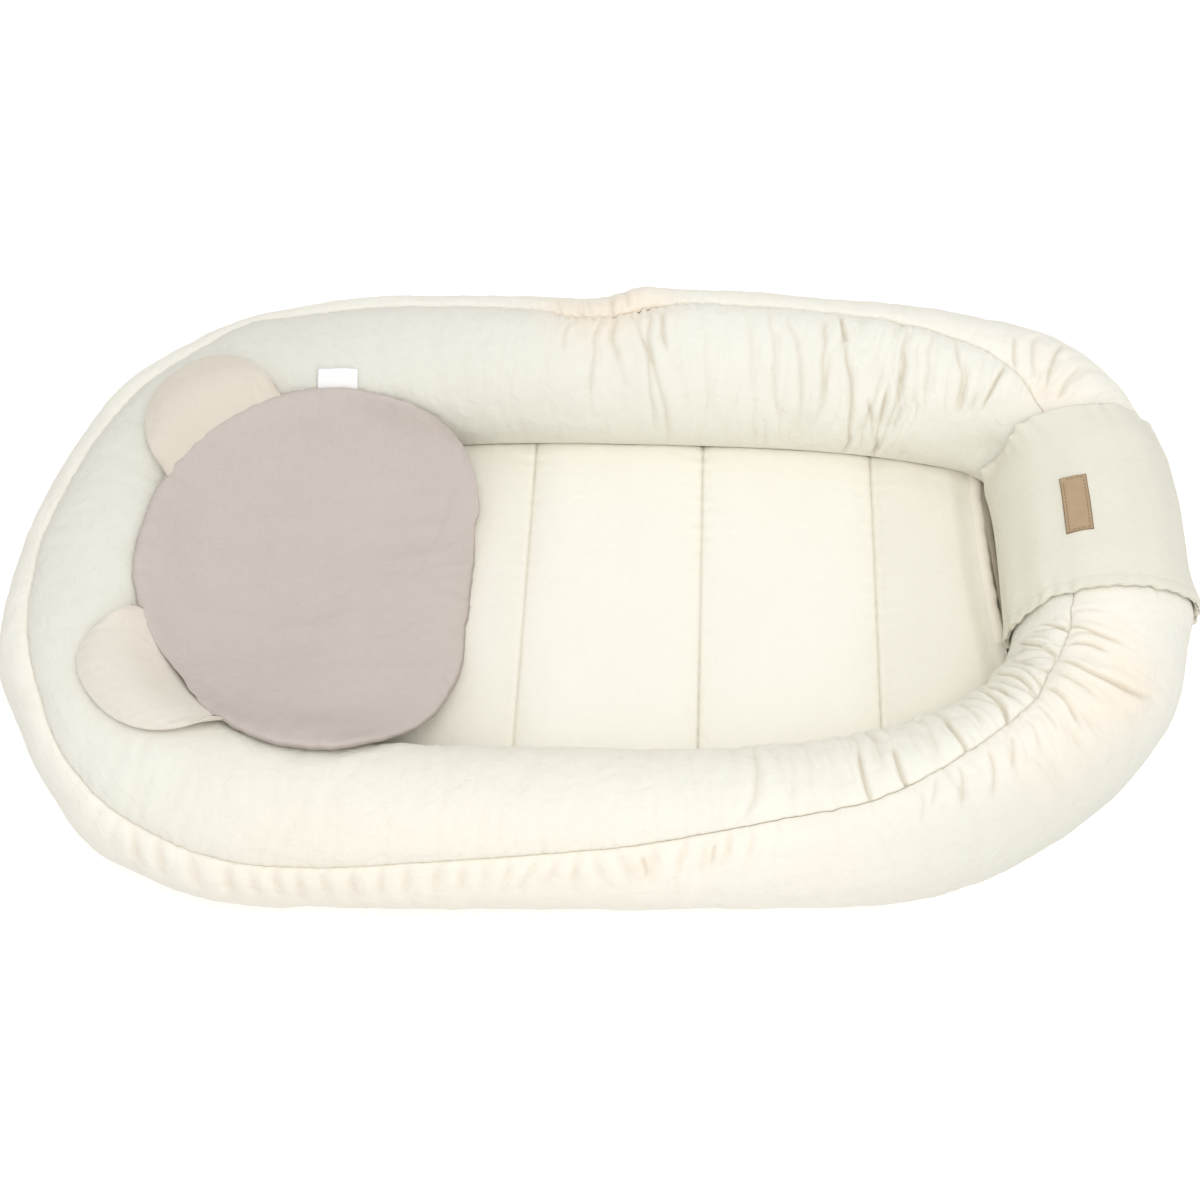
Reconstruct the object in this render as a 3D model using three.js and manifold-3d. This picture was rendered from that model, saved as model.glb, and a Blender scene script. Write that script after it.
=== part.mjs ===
// An infant lounger: a stuffed bumper bent into a U round a quilted floor, its two ends held
// together at the foot by a wrap-round cuff, with a loose head pillow that has two round ears.
// Millimetres, +Z up, +X towards the foot, +Y towards the far arm, origin on the floor under
// the middle. Angles round the bumper's section run from 0, straight outwards, over 90, the
// top, to 180, the side that faces the floor pad.

import * as THREE from "three";
import { mergeVertices } from "three/addons/utils/BufferGeometryUtils.js";
import Module from "manifold-3d";

const wasm = await Module();
wasm.setup();

// Driving dimensions

const cloth = {
  sheet: 1.2, // one layer of muslin with its backing
  gap: 0.3, // clearance between layers that lie on each other
};

const nest = {
  length: 900, // over the bumper, head to foot
  farArm: 204.3, // the far arm's middle line, from the nest's middle line
  nearArm: 192.2,
  bow: -12.7, // how far both ends lie over to the near side
  footSwing: 12.6, // how far the foot end lies over to the far side
  directionSpan: 6, // half the stretch over which the middle line's direction is taken
};

const squarenessShares = { footFar: 4.55, footNear: 2.42, headFar: 2.96, headNear: 3.37 };

const bumper = {
  radius: 60.4, // stuffed section half way along an arm
  endSwell: 4.8, // more at head and foot
  farSwell: 1.4, // more on the far arm, less on the near one
  settle: 2.5, // flattened on the floor
  endGap: 4, // between the two stuffed ends, inside the cuff
  seamValley: 2.6, // the long seam draws in
  stuffingEase: 4.1, // loose room under the panels, which their facets use up
  longStep: 62, // longest straight facet along the roll
  undersideReach: 21, // half the width of the base sheet under the roll
};
const lowerEdgeAngle = -68; // where the outer panel meets the base sheet
const mattressEdgeAngle = 214; // where the inner panel meets the quilted floor
const seamHalfWidthAngle = 9;
const foldStartAngle = -20; // the gathered folds begin here on the outer panel
const foldFadeAngle = 60; // and reach their full depth this far on
const turnStepAngle = 12; // widest bend in one facet
const seamGapAngle = 0.35;

// The long seam wanders round the roll: its place along the middle line, from the foot by the
// far side, as a share of the whole way, and its angle round the section there.
const seamWayShares = [
  -0.03, 0.03, 0.09, 0.13, 0.2, 0.28, 0.36, 0.48, 0.56, 0.61, 0.7, 0.79, 0.87, 0.92, 0.97,
];
const seamAngles = [128, 119, 109, 86, 72, 76, 67, 66, 57, 42, 50, 68, 91, 112, 128];

const gather = {
  pitch: 30, // from fold to fold where the cloth is drawn up next to the cuff
  depth: 4.5,
  farLength: 285, // how far the folds run along the far arm
  nearLength: 255,
};

const floorPad = {
  top: 31, // crown of a channel above the floor
  seamTop: 24, // at a stitched seam and along the bumper
  footTop: 14, // at the bound foot edge
  footFar: 136.5, // from the nest's foot end to the floor's foot edge, at the cuff's far side
  footNear: 129, // and at its near side
  edgeFade: 34, // over which the floor rises from the bumper to its crown
  edgeTuck: 4, // extra room beside the bumper, which bulges over the floor's edge
  footFade: 36,
  channelGap: 1.2, // between two fillings, where the seam is sewn through
};
const crossSeamShares = [-0.2278, -0.0694, 0.0889, 0.2472]; // of the nest's length, from its middle
const channelShares = [0, 0.05, 0.16, 0.38, 0.62, 0.84, 0.95];
const floorRowShares = [0, 0.05, 0.1, 0.17, 0.3, 0.5, 0.7, 0.83, 0.9, 0.95, 1];
const footColumnShares = [0, 0.05, 0.16, 0.4, 0.6, 0.72, 0.83, 0.92];
const channelSquareness = 5;

const binding = { thickness: 1.2, flange: 7 };

const cuff = {
  near: -11, // its two edges, square across the roll
  far: 138,
  drift: -14, // its inner side lies a little nearer
  batting: 2,
  proud: 5.5, // how far it stands out from the roll beside it
  ease: 1.5, // slack between the cuff and the roll that it holds
  grip: 6, // the roll stays narrow this far beside it
  fade: 30, // and swells out again over this length
  slotMargin: 7, // the slot in the base sheet beside the cuff
  columnStep: 25,
};
const cuffDriftAngle = 190;
const cuffDriftSpreadAngle = 46;
const cuffSlitAngle = -38; // where the two ends of the cuff butt
const cuffSlitGapAngle = 0.3;
const cuffStepAngle = 17;
const flatUndersideShare = 0.9; // the cuff isn't proud this deep below the roll's middle
const proudFadeShare = 0.7; // and is fully proud this much higher, both shares of the radius

// The roll is drawn in where the cuff ends at the far arm, on the side of the floor
const pinch = { depth: 12, length: 42 };
const pinchWayShare = 0.0917; // its middle, from the foot by the far side
const pinchAngle = 165;
const pinchSpreadAngle = 30;

const tab = { near: -5, far: 88, tape: 1, tapeMargin: 7, columnStep: 24 };
const tabHingeAngle = -26;
const tabTipAngle = -57;
const tapeStartAngle = -41;
const tapeEndAngle = -55;

const label = { near: 34, far: 81, thickness: 1.4 };
const labelAngles = [106, 122];

const pillow = {
  fromHead: 256, // from the nest's head end to the pillow's middle
  y: -7,
  footReach: 95,
  headReach: 154,
  farReach: 148,
  nearReach: 152,
  thickness: 26,
  rollClear: 2.2, // above the bumper, on which it rests at three sides
  sag: 1.1, // how far a point sinks below the mean of its neighbours
};
const pillowSquarenessShares = { footFar: 4.2, footNear: 2.1, headFar: 2.15, headNear: 1.95 };
const pillowRingShares = [0.3, 0.55, 0.75, 0.89, 0.97, 1];
const pillowSegments = 32;
const crownPower = 2.6; // how flat the middle of the pillow is
const edgePower = 0.62; // how full it stays towards its seam
const settleRounds = 80;

const ear = { height: 63, root: 5, thickness: 13, seamGap: 0.6 };
const ears = [
  { name: "far", middleAngle: 137, halfAngle: 21.5, pointAngle: 130 },
  { name: "near", middleAngle: 221, halfAngle: 21.5, pointAngle: 211 },
];
const earColumns = 10;
const earRows = 5;
const earSquareness = 2.3;
const earUpPower = 0.7; // how full an ear is from its root to its tip
const earAcrossPower = 0.5;

const careLabel = { width: 31, length: 15, thickness: 0.6, fromHead: 232.5, clear: 0.8 };

const toRadians = Math.PI / 180;

function smooth(share) {
  const t = Math.min(Math.max(share, 0), 1);
  return t * t * (3 - 2 * t);
}

function mix(a, b, share) {
  return a + (b - a) * share;
}

// The middle line of the roll: a rounded oblong, each quarter a superellipse of its own

const half = nest.length / 2;

function squarenessOf(shares, alongFoot, acrossFar) {
  if (alongFoot > 0) {
    return acrossFar > 0 ? shares.footFar : shares.footNear;
  }
  return acrossFar > 0 ? shares.headFar : shares.headNear;
}

function middleLinePoint(turn) {
  const c = Math.cos(turn * 2 * Math.PI);
  const s = Math.sin(turn * 2 * Math.PI);
  const power = 2 / squarenessOf(squarenessShares, c, s);
  const x = (half - bumper.radius - bumper.endSwell) * Math.sign(c) * Math.abs(c) ** power;
  const arm = s > 0 ? nest.farArm : nest.nearArm;
  const along = x / half;
  const y = arm * Math.sign(s) * Math.abs(s) ** power + nest.footSwing * along + nest.bow * along ** 2;
  return { x, y };
}

const lineSamples = 1440;
const line = [];
let wayRound = 0;
for (let i = 0; i <= lineSamples; i += 1) {
  const point = middleLinePoint(i / lineSamples);
  const last = line[line.length - 1];
  wayRound += last ? Math.hypot(point.x - last.x, point.y - last.y) : 0;
  line.push({ ...point, way: wayRound });
}

function pointAt(way) {
  const wanted = ((way % wayRound) + wayRound) % wayRound;
  let low = 0;
  let high = lineSamples;
  while (high - low > 1) {
    const middle = (low + high) >> 1;
    if (line[middle].way > wanted) {
      high = middle;
    } else {
      low = middle;
    }
  }
  const share = (wanted - line[low].way) / (line[high].way - line[low].way);
  return { x: mix(line[low].x, line[high].x, share), y: mix(line[low].y, line[high].y, share) };
}

// Place, outward direction and section radius of the roll at a distance along its middle line
function frameAt(way) {
  const { x, y } = pointAt(way);
  const before = pointAt(way - nest.directionSpan);
  const after = pointAt(way + nest.directionSpan);
  const size = Math.hypot(after.x - before.x, after.y - before.y);
  const radius = bumper.radius + bumper.endSwell * (x / half) ** 2 + (bumper.farSwell * y) / nest.farArm;
  return {
    x,
    y,
    way,
    outX: (after.y - before.y) / size,
    outY: (before.x - after.x) / size,
    radius,
    height: radius - bumper.settle,
  };
}

function seamAngleAt(way) {
  const share = way / wayRound;
  const wrapped = share - Math.floor(share - seamWayShares[0]);
  let k = 0;
  while (k < seamWayShares.length - 2 && seamWayShares[k + 1] < wrapped) {
    k += 1;
  }
  const local = (wrapped - seamWayShares[k]) / (seamWayShares[k + 1] - seamWayShares[k]);
  return mix(seamAngles[k], seamAngles[k + 1], smooth(local));
}

function pinchAt(way, angle) {
  const along = (way - pinchWayShare * wayRound) / pinch.length;
  const round = (angle - pinchAngle) / pinchSpreadAngle;
  return pinch.depth * Math.exp(-(along ** 2) - round ** 2);
}

// A surface so far inside the roll's outermost cloth: round, and flat where it rests
function surfacePoint(frame, angle, inset) {
  const turned = angle * toRadians;
  const down = -Math.sin(turned);
  const round = frame.radius - inset - pinchAt(frame.way, angle);
  const reach = down > 0 ? Math.min(round, (frame.height - inset) / down) : round;
  const out = reach * Math.cos(turned);
  return [frame.x + out * frame.outX, frame.y + out * frame.outY, frame.height - reach * down];
}

// The cuff squeezes the roll, which swells out again beside it
const cuffInset = cloth.sheet * 2 + cuff.batting + cloth.gap * 2;

function cuffDrift(angle) {
  const turned = angle < lowerEdgeAngle ? angle + 360 : angle;
  return cuff.drift * Math.exp(-(((turned - cuffDriftAngle) / cuffDriftSpreadAngle) ** 2));
}

function cuffProud(angle) {
  return cuff.proud * smooth((Math.sin(angle * toRadians) + flatUndersideShare) / proudFadeShare);
}

function cuffSqueeze(frame, angle) {
  if (frame.x < 0) {
    return 0;
  }
  const y = frame.y + frame.radius * Math.cos(angle * toRadians) * frame.outY - cuffDrift(angle);
  const beyondNear = cuff.near - y - cuff.grip;
  const beyondFar = y - cuff.far - cuff.grip;
  const held = smooth(1 - beyondNear / cuff.fade) * smooth(1 - beyondFar / cuff.fade);
  return (cuffInset + cuff.ease - cuffProud(angle)) * held;
}

// Distance along the middle line at which a surface crosses a given y at the foot end
const footEndShare = 0.12;
const searchRounds = 40;

function wayAtY(y, angle, inset) {
  let low = -wayRound * footEndShare;
  let high = wayRound * footEndShare;
  for (let i = 0; i < searchRounds; i += 1) {
    const middle = (low + high) / 2;
    if (surfacePoint(frameAt(middle), angle, inset)[1] < y) {
      low = middle;
    } else {
      high = middle;
    }
  }
  return (low + high) / 2;
}

const topAngle = 90;
const cuffNearWay = wayAtY(cuff.near, topAngle, 0);
const cuffFarWay = wayAtY(cuff.far, topAngle, 0);
const joinWay = (cuffNearWay + cuffFarWay) / 2;
const farFoldsEnd = cuffFarWay + gather.farLength;
const nearFoldsStart = cuffNearWay + wayRound - gather.nearLength;

// How far into a fold the cloth is, from 0 on its ridge to 1 in its valley, and how strong
// the gathering is: full beside the cuff, none at the end of the gathered stretch
function foldAt(way) {
  const fromFar = way - cuffFarWay;
  const fromNear = cuffNearWay + wayRound - way;
  const far = fromFar < fromNear;
  const distance = far ? fromFar : fromNear;
  const length = far ? gather.farLength : gather.nearLength;
  const valley = 0.5 - 0.5 * Math.cos((2 * Math.PI * distance) / gather.pitch);
  return { valley, strength: smooth(1 - distance / length) };
}

function foldReach(angle) {
  return smooth((angle - foldStartAngle) / foldFadeAngle);
}

function panelInset(frame, angle, depth) {
  const fold = foldAt(frame.way);
  const seamOff = (angle - seamAngleAt(frame.way)) / seamHalfWidthAngle;
  const folded = gather.depth * fold.valley * fold.strength * foldReach(angle);
  return cuffSqueeze(frame, angle) + folded + bumper.seamValley * Math.exp(-(seamOff ** 2)) + depth;
}

// Stations along the roll: half a fold apart where it is gathered, elsewhere closer in a bend
function evenWays(from, to, step) {
  const count = Math.max(Math.round((to - from) / step), 1);
  return Array.from({ length: count }, (_, i) => mix(from, to, i / count));
}

const bendSamples = 240;

function bendWays(from, to) {
  const parts = bendSamples;
  const need = [0];
  for (let i = 0; i < parts; i += 1) {
    const a = frameAt(mix(from, to, i / parts));
    const b = frameAt(mix(from, to, (i + 1) / parts));
    const bend = Math.asin(Math.min(Math.abs(a.outX * b.outY - a.outY * b.outX), 1)) / toRadians;
    need.push(need[i] + (to - from) / parts / bumper.longStep + bend / turnStepAngle);
  }
  const count = Math.ceil(need[parts]);
  const ways = [];
  let k = 0;
  for (let i = 0; i < count; i += 1) {
    const wanted = (need[parts] * i) / count;
    while (need[k + 1] < wanted) {
      k += 1;
    }
    ways.push(mix(from, to, (k + (wanted - need[k]) / (need[k + 1] - need[k])) / parts));
  }
  return ways;
}

function stations(foldStep) {
  const start = joinWay + bumper.endGap / 2;
  const end = joinWay + wayRound - bumper.endGap / 2;
  return [
    ...evenWays(start, cuffFarWay, cuff.columnStep),
    ...evenWays(cuffFarWay, farFoldsEnd, foldStep),
    ...bendWays(farFoldsEnd, nearFoldsStart),
    ...evenWays(nearFoldsStart, cuffNearWay + wayRound, foldStep),
    ...evenWays(cuffNearWay + wayRound, end, cuff.columnStep),
    end,
  ];
}

// Solids from rows of points

function geometryOf(points, faces) {
  let volume = 0;
  for (const [a, b, c] of faces) {
    const [p, q, r] = [points[a], points[b], points[c]];
    volume += p[0] * (q[1] * r[2] - q[2] * r[1]);
    volume += p[1] * (q[2] * r[0] - q[0] * r[2]);
    volume += p[2] * (q[0] * r[1] - q[1] * r[0]);
  }
  const facing = volume < 0 ? faces.map(([a, b, c]) => [a, c, b]) : faces;
  const geometry = new THREE.BufferGeometry();
  geometry.setAttribute("position", new THREE.Float32BufferAttribute(points.flat(), 3));
  geometry.setIndex(facing.flat());
  return geometry;
}

function quad(faces, a, b, c, d) {
  faces.push([a, b, c], [a, c, d]);
}

// Two skins of equal rows and columns, joined by walls round their edges
function plate(skin, lining) {
  const rows = skin.length;
  const columns = skin[0].length;
  const points = [...skin.flat(), ...lining.flat()];
  const under = rows * columns;
  const at = (i, j) => i * columns + j;
  const faces = [];
  for (let i = 0; i < rows - 1; i += 1) {
    for (let j = 0; j < columns - 1; j += 1) {
      quad(faces, at(i, j), at(i + 1, j), at(i + 1, j + 1), at(i, j + 1));
      quad(faces, under + at(i, j), under + at(i, j + 1), under + at(i + 1, j + 1), under + at(i + 1, j));
    }
  }
  const rim = [];
  for (let j = 0; j < columns - 1; j += 1) {
    rim.push([at(0, j), at(0, j + 1)], [at(rows - 1, j + 1), at(rows - 1, j)]);
  }
  for (let i = 0; i < rows - 1; i += 1) {
    rim.push([at(i + 1, 0), at(i, 0)], [at(i, columns - 1), at(i + 1, columns - 1)]);
  }
  for (const [a, b] of rim) {
    quad(faces, a, b, under + b, under + a);
  }
  return geometryOf(points, faces);
}

// A round cushion shape: a middle point and closed rings above, the same below, and a rim
function lens(upper, lower) {
  const count = upper[1].length;
  const points = [...upper.flat(), ...lower.flat()];
  const under = upper.flat().length;
  const at = (k, j) => 1 + (k - 1) * count + (j % count);
  const faces = [];
  for (let j = 0; j < count; j += 1) {
    faces.push([0, at(1, j), at(1, j + 1)], [under, under + at(1, j + 1), under + at(1, j)]);
    for (let k = 1; k < upper.length - 1; k += 1) {
      quad(faces, at(k, j), at(k + 1, j), at(k + 1, j + 1), at(k, j + 1));
      quad(faces, under + at(k, j), under + at(k, j + 1), under + at(k + 1, j + 1), under + at(k + 1, j));
    }
    const last = upper.length - 1;
    quad(faces, at(last, j), under + at(last, j), under + at(last, j + 1), at(last, j + 1));
  }
  return geometryOf(points, faces);
}

// A solid roll through closed rings of points, with a flat cap on each end
function roll(rings) {
  const count = rings[0].length;
  const points = rings.flat();
  const faces = [];
  const at = (i, j) => i * count + (j % count);
  for (let i = 0; i < rings.length - 1; i += 1) {
    for (let j = 0; j < count; j += 1) {
      quad(faces, at(i, j), at(i + 1, j), at(i + 1, j + 1), at(i, j + 1));
    }
  }
  for (const [i, first, second] of [[0, 0, 1], [rings.length - 1, 1, 0]]) {
    const middle = [0, 1, 2].map((axis) => rings[i].reduce((sum, p) => sum + p[axis], 0) / count);
    points.push(middle);
    for (let j = 0; j < count; j += 1) {
      faces.push([points.length - 1, at(i, j + first), at(i, j + second)]);
    }
  }
  return geometryOf(points, faces);
}

// Joins and cuts

function solidOf(geometry) {
  const bare = geometry.clone();
  bare.deleteAttribute("normal");
  bare.deleteAttribute("uv");
  const merged = mergeVertices(bare);
  return new wasm.Manifold(
    new wasm.Mesh({
      numProp: 3,
      vertProperties: new Float32Array(merged.attributes.position.array),
      triVerts: new Uint32Array(merged.index.array),
    }),
  );
}

function geometryFrom(solid) {
  const mesh = solid.getMesh();
  const geometry = new THREE.BufferGeometry();
  geometry.setAttribute("position", new THREE.BufferAttribute(new Float32Array(mesh.vertProperties), 3));
  geometry.setIndex(new THREE.BufferAttribute(new Uint32Array(mesh.triVerts), 1));
  return geometry;
}

function prism(outline, bottom, top) {
  const shape = new THREE.Shape(outline.map(([x, y]) => new THREE.Vector2(x, y)));
  const geometry = new THREE.ExtrudeGeometry(shape, { depth: top - bottom, bevelEnabled: false });
  geometry.translate(0, 0, bottom);
  return solidOf(geometry);
}

// Closed outline at a distance from the middle line that may change along it
function offsetOutline(distanceAt) {
  return bendWays(0, wayRound).map((way) => {
    const frame = frameAt(way);
    const distance = distanceAt(frame);
    return [frame.x + distance * frame.outX, frame.y + distance * frame.outY];
  });
}

// Stuffed roll, its two panels and its end caps

function panel(fromAngleAt, toAngleAt, shares) {
  const skins = [0, cloth.sheet].map((depth) =>
    stations(gather.pitch / 2).map((way) => {
      const frame = frameAt(way);
      return shares.map((share) => {
        const angle = mix(fromAngleAt(way), toAngleAt(way), share);
        return surfacePoint(frame, angle, panelInset(frame, angle, depth));
      });
    }),
  );
  return plate(skins[0], skins[1]);
}

const innerPanelShares = [0, 0.09, 0.26, 0.45, 0.64, 0.83, 1];
const outerPanelShares = [0, 0.09, 0.27, 0.45, 0.63, 0.81, 1];

function bumperInnerPanel() {
  return panel((way) => seamAngleAt(way) + seamGapAngle, () => mattressEdgeAngle, innerPanelShares);
}

function bumperOuterPanel() {
  return panel((way) => seamAngleAt(way) - seamGapAngle, () => lowerEdgeAngle, outerPanelShares);
}

const stuffingSides = 14;
const undersideAngle = -90;
const stuffingInset = cloth.sheet + cloth.gap + bumper.stuffingEase;

function stuffingRing(way) {
  const frame = frameAt(way);
  const { strength } = foldAt(way);
  return Array.from({ length: stuffingSides }, (_, j) => {
    const angle = undersideAngle + (360 * (j + 0.5)) / stuffingSides;
    const folded = gather.depth * strength * foldReach(angle);
    const belowFloor = angle < lowerEdgeAngle || angle > mattressEdgeAngle;
    const layers = belowFloor ? cloth.sheet + cloth.gap : stuffingInset + folded;
    return surfacePoint(frame, angle, cuffSqueeze(frame, angle) + layers);
  });
}

function bumperStuffing() {
  const inside = bumper.endGap / 2 + cloth.sheet + cloth.gap;
  const first = joinWay + inside;
  const last = joinWay + wayRound - inside;
  const between = stations(gather.pitch).filter((way) => way > first && way < last);
  return roll([first, ...between, last].map(stuffingRing));
}

function endCap(direction) {
  const outer = joinWay + (direction * bumper.endGap) / 2;
  const ways = [outer, outer + direction * cloth.sheet];
  return roll(ways.map(stuffingRing));
}

// Quilted floor: base sheet, one filling to a channel, the quilted top and the bound edge

function footEdgeX(y) {
  return half - mix(floorPad.footNear, floorPad.footFar, (y - cuff.near) / (cuff.far - cuff.near));
}

// Distance of a place from the middle line, and the roll's frame nearest to it
const nearFrameCount = 260;
const nearFrames = Array.from({ length: nearFrameCount }, (_, i) => {
  return frameAt((wayRound * i) / nearFrameCount);
});

function nearestRoll(x, y) {
  let best = nearFrames[0];
  let distance = Infinity;
  for (const frame of nearFrames) {
    const here = Math.hypot(frame.x - x, frame.y - y);
    if (here < distance) {
      distance = here;
      best = frame;
    }
  }
  return { frame: best, distance };
}

function floorEdgeDistance(frame) {
  const drop = frame.height - floorPad.seamTop - floorPad.edgeTuck;
  return Math.sqrt(frame.radius ** 2 - drop ** 2) + cloth.gap;
}

const headEdge = -half + bumper.radius + bumper.endSwell;
const seams = crossSeamShares.map((share) => share * nest.length);
const channelCount = seams.length + 1;

// The last channel ends at the bound edge, which lies slightly askew
function channelEnd(k, y) {
  if (k === 0) {
    return headEdge;
  }
  return k <= seams.length ? seams[k - 1] : footEdgeX(y) - binding.flange - cloth.gap;
}

function floorTop(x, y) {
  const { frame, distance } = nearestRoll(x, y);
  const rise = smooth((distance - floorEdgeDistance(frame)) / floorPad.edgeFade);
  let k = 0;
  while (k < seams.length && x > seams[k]) {
    k += 1;
  }
  const across = (2 * (x - channelEnd(k, y))) / (channelEnd(k + 1, y) - channelEnd(k, y)) - 1;
  const crown = 1 - Math.min(Math.abs(across), 1) ** channelSquareness;
  const crowned = floorPad.seamTop + (floorPad.top - floorPad.seamTop) * crown * rise;
  const fromFoot = channelEnd(channelCount, y) - x;
  return mix(floorPad.footTop, crowned, smooth(fromFoot / floorPad.footFade));
}

function floorSkin(heightOf) {
  const columns = [];
  for (let k = 0; k < channelCount; k += 1) {
    const shares = k === channelCount - 1 ? footColumnShares : channelShares;
    columns.push(...shares.map((share) => (y) => mix(channelEnd(k, y), channelEnd(k + 1, y), share)));
  }
  columns.push((y) => channelEnd(channelCount, y));
  columns.push((y) => footEdgeX(y) + binding.flange);
  const tucked = bumper.radius / Math.SQRT2;
  return columns.map((columnX) =>
    floorRowShares.map((share) => {
      const y = mix(tucked - nest.nearArm, nest.farArm - tucked, share);
      const x = columnX(y);
      return [x, y, heightOf(x, y)];
    }),
  );
}

// The floor's pieces are cut out of blocks that reach this far, well beyond the floor
const blockReach = half + bumper.radius;

// Everything on the head side of the foot edge, drawn back by a distance
function headwardOfFoot(back) {
  const low = cuff.near - blockReach;
  const high = cuff.far + blockReach;
  const outline = [
    [-blockReach, low],
    [footEdgeX(low) - back, low],
    [footEdgeX(high) - back, high],
    [-blockReach, high],
  ];
  return prism(outline, -blockReach, blockReach);
}

function floorPrism(inset) {
  const outline = offsetOutline((frame) => -floorEdgeDistance(frame) - inset);
  return prism(outline, -blockReach, blockReach);
}

function mattressTop() {
  const skins = [0, cloth.sheet].map((depth) => floorSkin((x, y) => floorTop(x, y) - depth));
  const sheet = solidOf(plate(skins[0], skins[1]));
  const inside = sheet.intersect(floorPrism(0));
  return geometryFrom(inside.intersect(headwardOfFoot(binding.thickness + cloth.gap)));
}

function floorFillings() {
  const layer = cloth.sheet + cloth.gap;
  const skin = floorSkin((x, y) => floorTop(x, y) - layer);
  const base = floorSkin(() => layer);
  const whole = solidOf(plate(skin, base)).intersect(floorPrism(cloth.gap));
  const cut = whole.intersect(headwardOfFoot(binding.thickness + cloth.gap));
  return Array.from({ length: channelCount }, (_, k) => {
    const from = (k === 0 ? headEdge : seams[k - 1]) + floorPad.channelGap / 2;
    const to = (k < seams.length ? seams[k] : nest.length) - floorPad.channelGap / 2;
    const box = new THREE.BoxGeometry(to - from, blockReach * 2, blockReach * 2);
    box.translate((from + to) / 2, 0, 0);
    return geometryFrom(cut.intersect(solidOf(box)));
  });
}

const slotNear = cuff.near - cuff.slotMargin;
const slotFar = cuff.far + cuff.slotMargin;

function baseSheet() {
  const sheet = prism(offsetOutline(() => bumper.undersideReach), 0, cloth.sheet);
  const back = binding.flange + cloth.gap;
  const slot = [
    [footEdgeX(slotNear) - back, slotNear],
    [nest.length, slotNear],
    [nest.length, slotFar],
    [footEdgeX(slotFar) - back, slotFar],
  ];
  return geometryFrom(sheet.subtract(prism(slot, -cloth.sheet, cloth.sheet * 2)));
}

// A folded strip round the floor's foot edge, open towards the head
function footEdgeBinding() {
  const height = floorPad.footTop + cloth.gap + binding.thickness;
  const profile = new THREE.Shape([
    new THREE.Vector2(0, 0),
    new THREE.Vector2(0, height),
    new THREE.Vector2(-binding.flange, height),
    new THREE.Vector2(-binding.flange, height - binding.thickness),
    new THREE.Vector2(-binding.thickness, height - binding.thickness),
    new THREE.Vector2(-binding.thickness, binding.thickness),
    new THREE.Vector2(-binding.flange, binding.thickness),
    new THREE.Vector2(-binding.flange, 0),
  ]);
  const near = new THREE.Vector3(footEdgeX(slotNear), slotNear, 0);
  const far = new THREE.Vector3(footEdgeX(slotFar), slotFar, 0);
  const strip = new THREE.ExtrudeGeometry(profile, { depth: near.distanceTo(far), bevelEnabled: false });
  const along = far.clone().sub(near).normalize();
  const up = new THREE.Vector3(0, 0, 1);
  const across = up.clone().cross(along).negate();
  strip.applyMatrix4(new THREE.Matrix4().makeBasis(across, up, along.clone().negate()).setPosition(far));
  const slotRoom = new THREE.BoxGeometry(nest.length, slotFar - slotNear - 2 * cloth.gap, blockReach);
  slotRoom.translate(0, (slotFar + slotNear) / 2, 0);
  return geometryFrom(solidOf(strip).intersect(floorPrism(0)).intersect(solidOf(slotRoom)));
}

// Cuff pieces: strips that follow the roll at the foot, cut square across it

function cuffStrip(near, far, columnStep, angles, insetAt, thickness) {
  const columns = Math.max(Math.round((far - near) / columnStep), 1);
  const skins = [0, thickness].map((depth) =>
    Array.from({ length: columns + 1 }, (_, i) => {
      return angles.map((angle) => {
        const inset = insetAt(angle) + depth - cuffProud(angle);
        const y = mix(near, far, i / columns) + cuffDrift(angle);
        return surfacePoint(frameAt(wayAtY(y, angle, inset)), angle, inset);
      });
    }),
  );
  return plate(skins[0], skins[1]);
}

function angleRun(from, to, step) {
  const count = Math.max(Math.round(Math.abs(to - from) / step), 1);
  return Array.from({ length: count + 1 }, (_, i) => mix(from, to, i / count));
}

function cuffLayer(inset, thickness) {
  const from = cuffSlitAngle + cuffSlitGapAngle;
  const to = cuffSlitAngle + 360 - cuffSlitGapAngle;
  const angles = angleRun(from, to, cuffStepAngle);
  return cuffStrip(cuff.near, cuff.far, cuff.columnStep, angles, () => inset, thickness);
}

const tapeStack = 2 * (tab.tape + cloth.gap);
const tapeAngles = angleRun(tapeStartAngle, tapeEndAngle, cuffStepAngle / 2);

function tabLayer(layersBelow) {
  const lift = cloth.gap + layersBelow * (cloth.sheet + cloth.gap);
  const angles = angleRun(tabHingeAngle, tabTipAngle, cuffStepAngle / 3);
  const insetAt = (angle) => {
    const overTapes = smooth((tabHingeAngle - angle) / (tabHingeAngle - tapeStartAngle));
    return -lift - cloth.sheet - tapeStack * overTapes;
  };
  return cuffStrip(tab.near, tab.far, tab.columnStep, angles, insetAt, cloth.sheet);
}

function tape(layersBelow) {
  const inset = -cloth.gap - tab.tape - layersBelow * (tab.tape + cloth.gap);
  const near = tab.near + tab.tapeMargin;
  const far = tab.far - tab.tapeMargin;
  return cuffStrip(near, far, tab.columnStep, tapeAngles, () => inset, tab.tape);
}

function leatherLabel() {
  const inset = -cloth.gap - label.thickness;
  const angles = angleRun(labelAngles[0], labelAngles[1], cuffStepAngle / 3);
  return cuffStrip(label.near, label.far, tab.columnStep, angles, () => inset, label.thickness);
}

// Pillow: a stuffed round that lies on the floor and leans on the bumper at three sides

function pillowOutline(angle) {
  const c = Math.cos(angle * toRadians);
  const s = Math.sin(angle * toRadians);
  const power = squarenessOf(pillowSquarenessShares, c, s);
  const along = Math.abs(c) / (c > 0 ? pillow.footReach : pillow.headReach);
  const across = Math.abs(s) / (s > 0 ? pillow.farReach : pillow.nearReach);
  return (along ** power + across ** power) ** (-1 / power);
}

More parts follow.
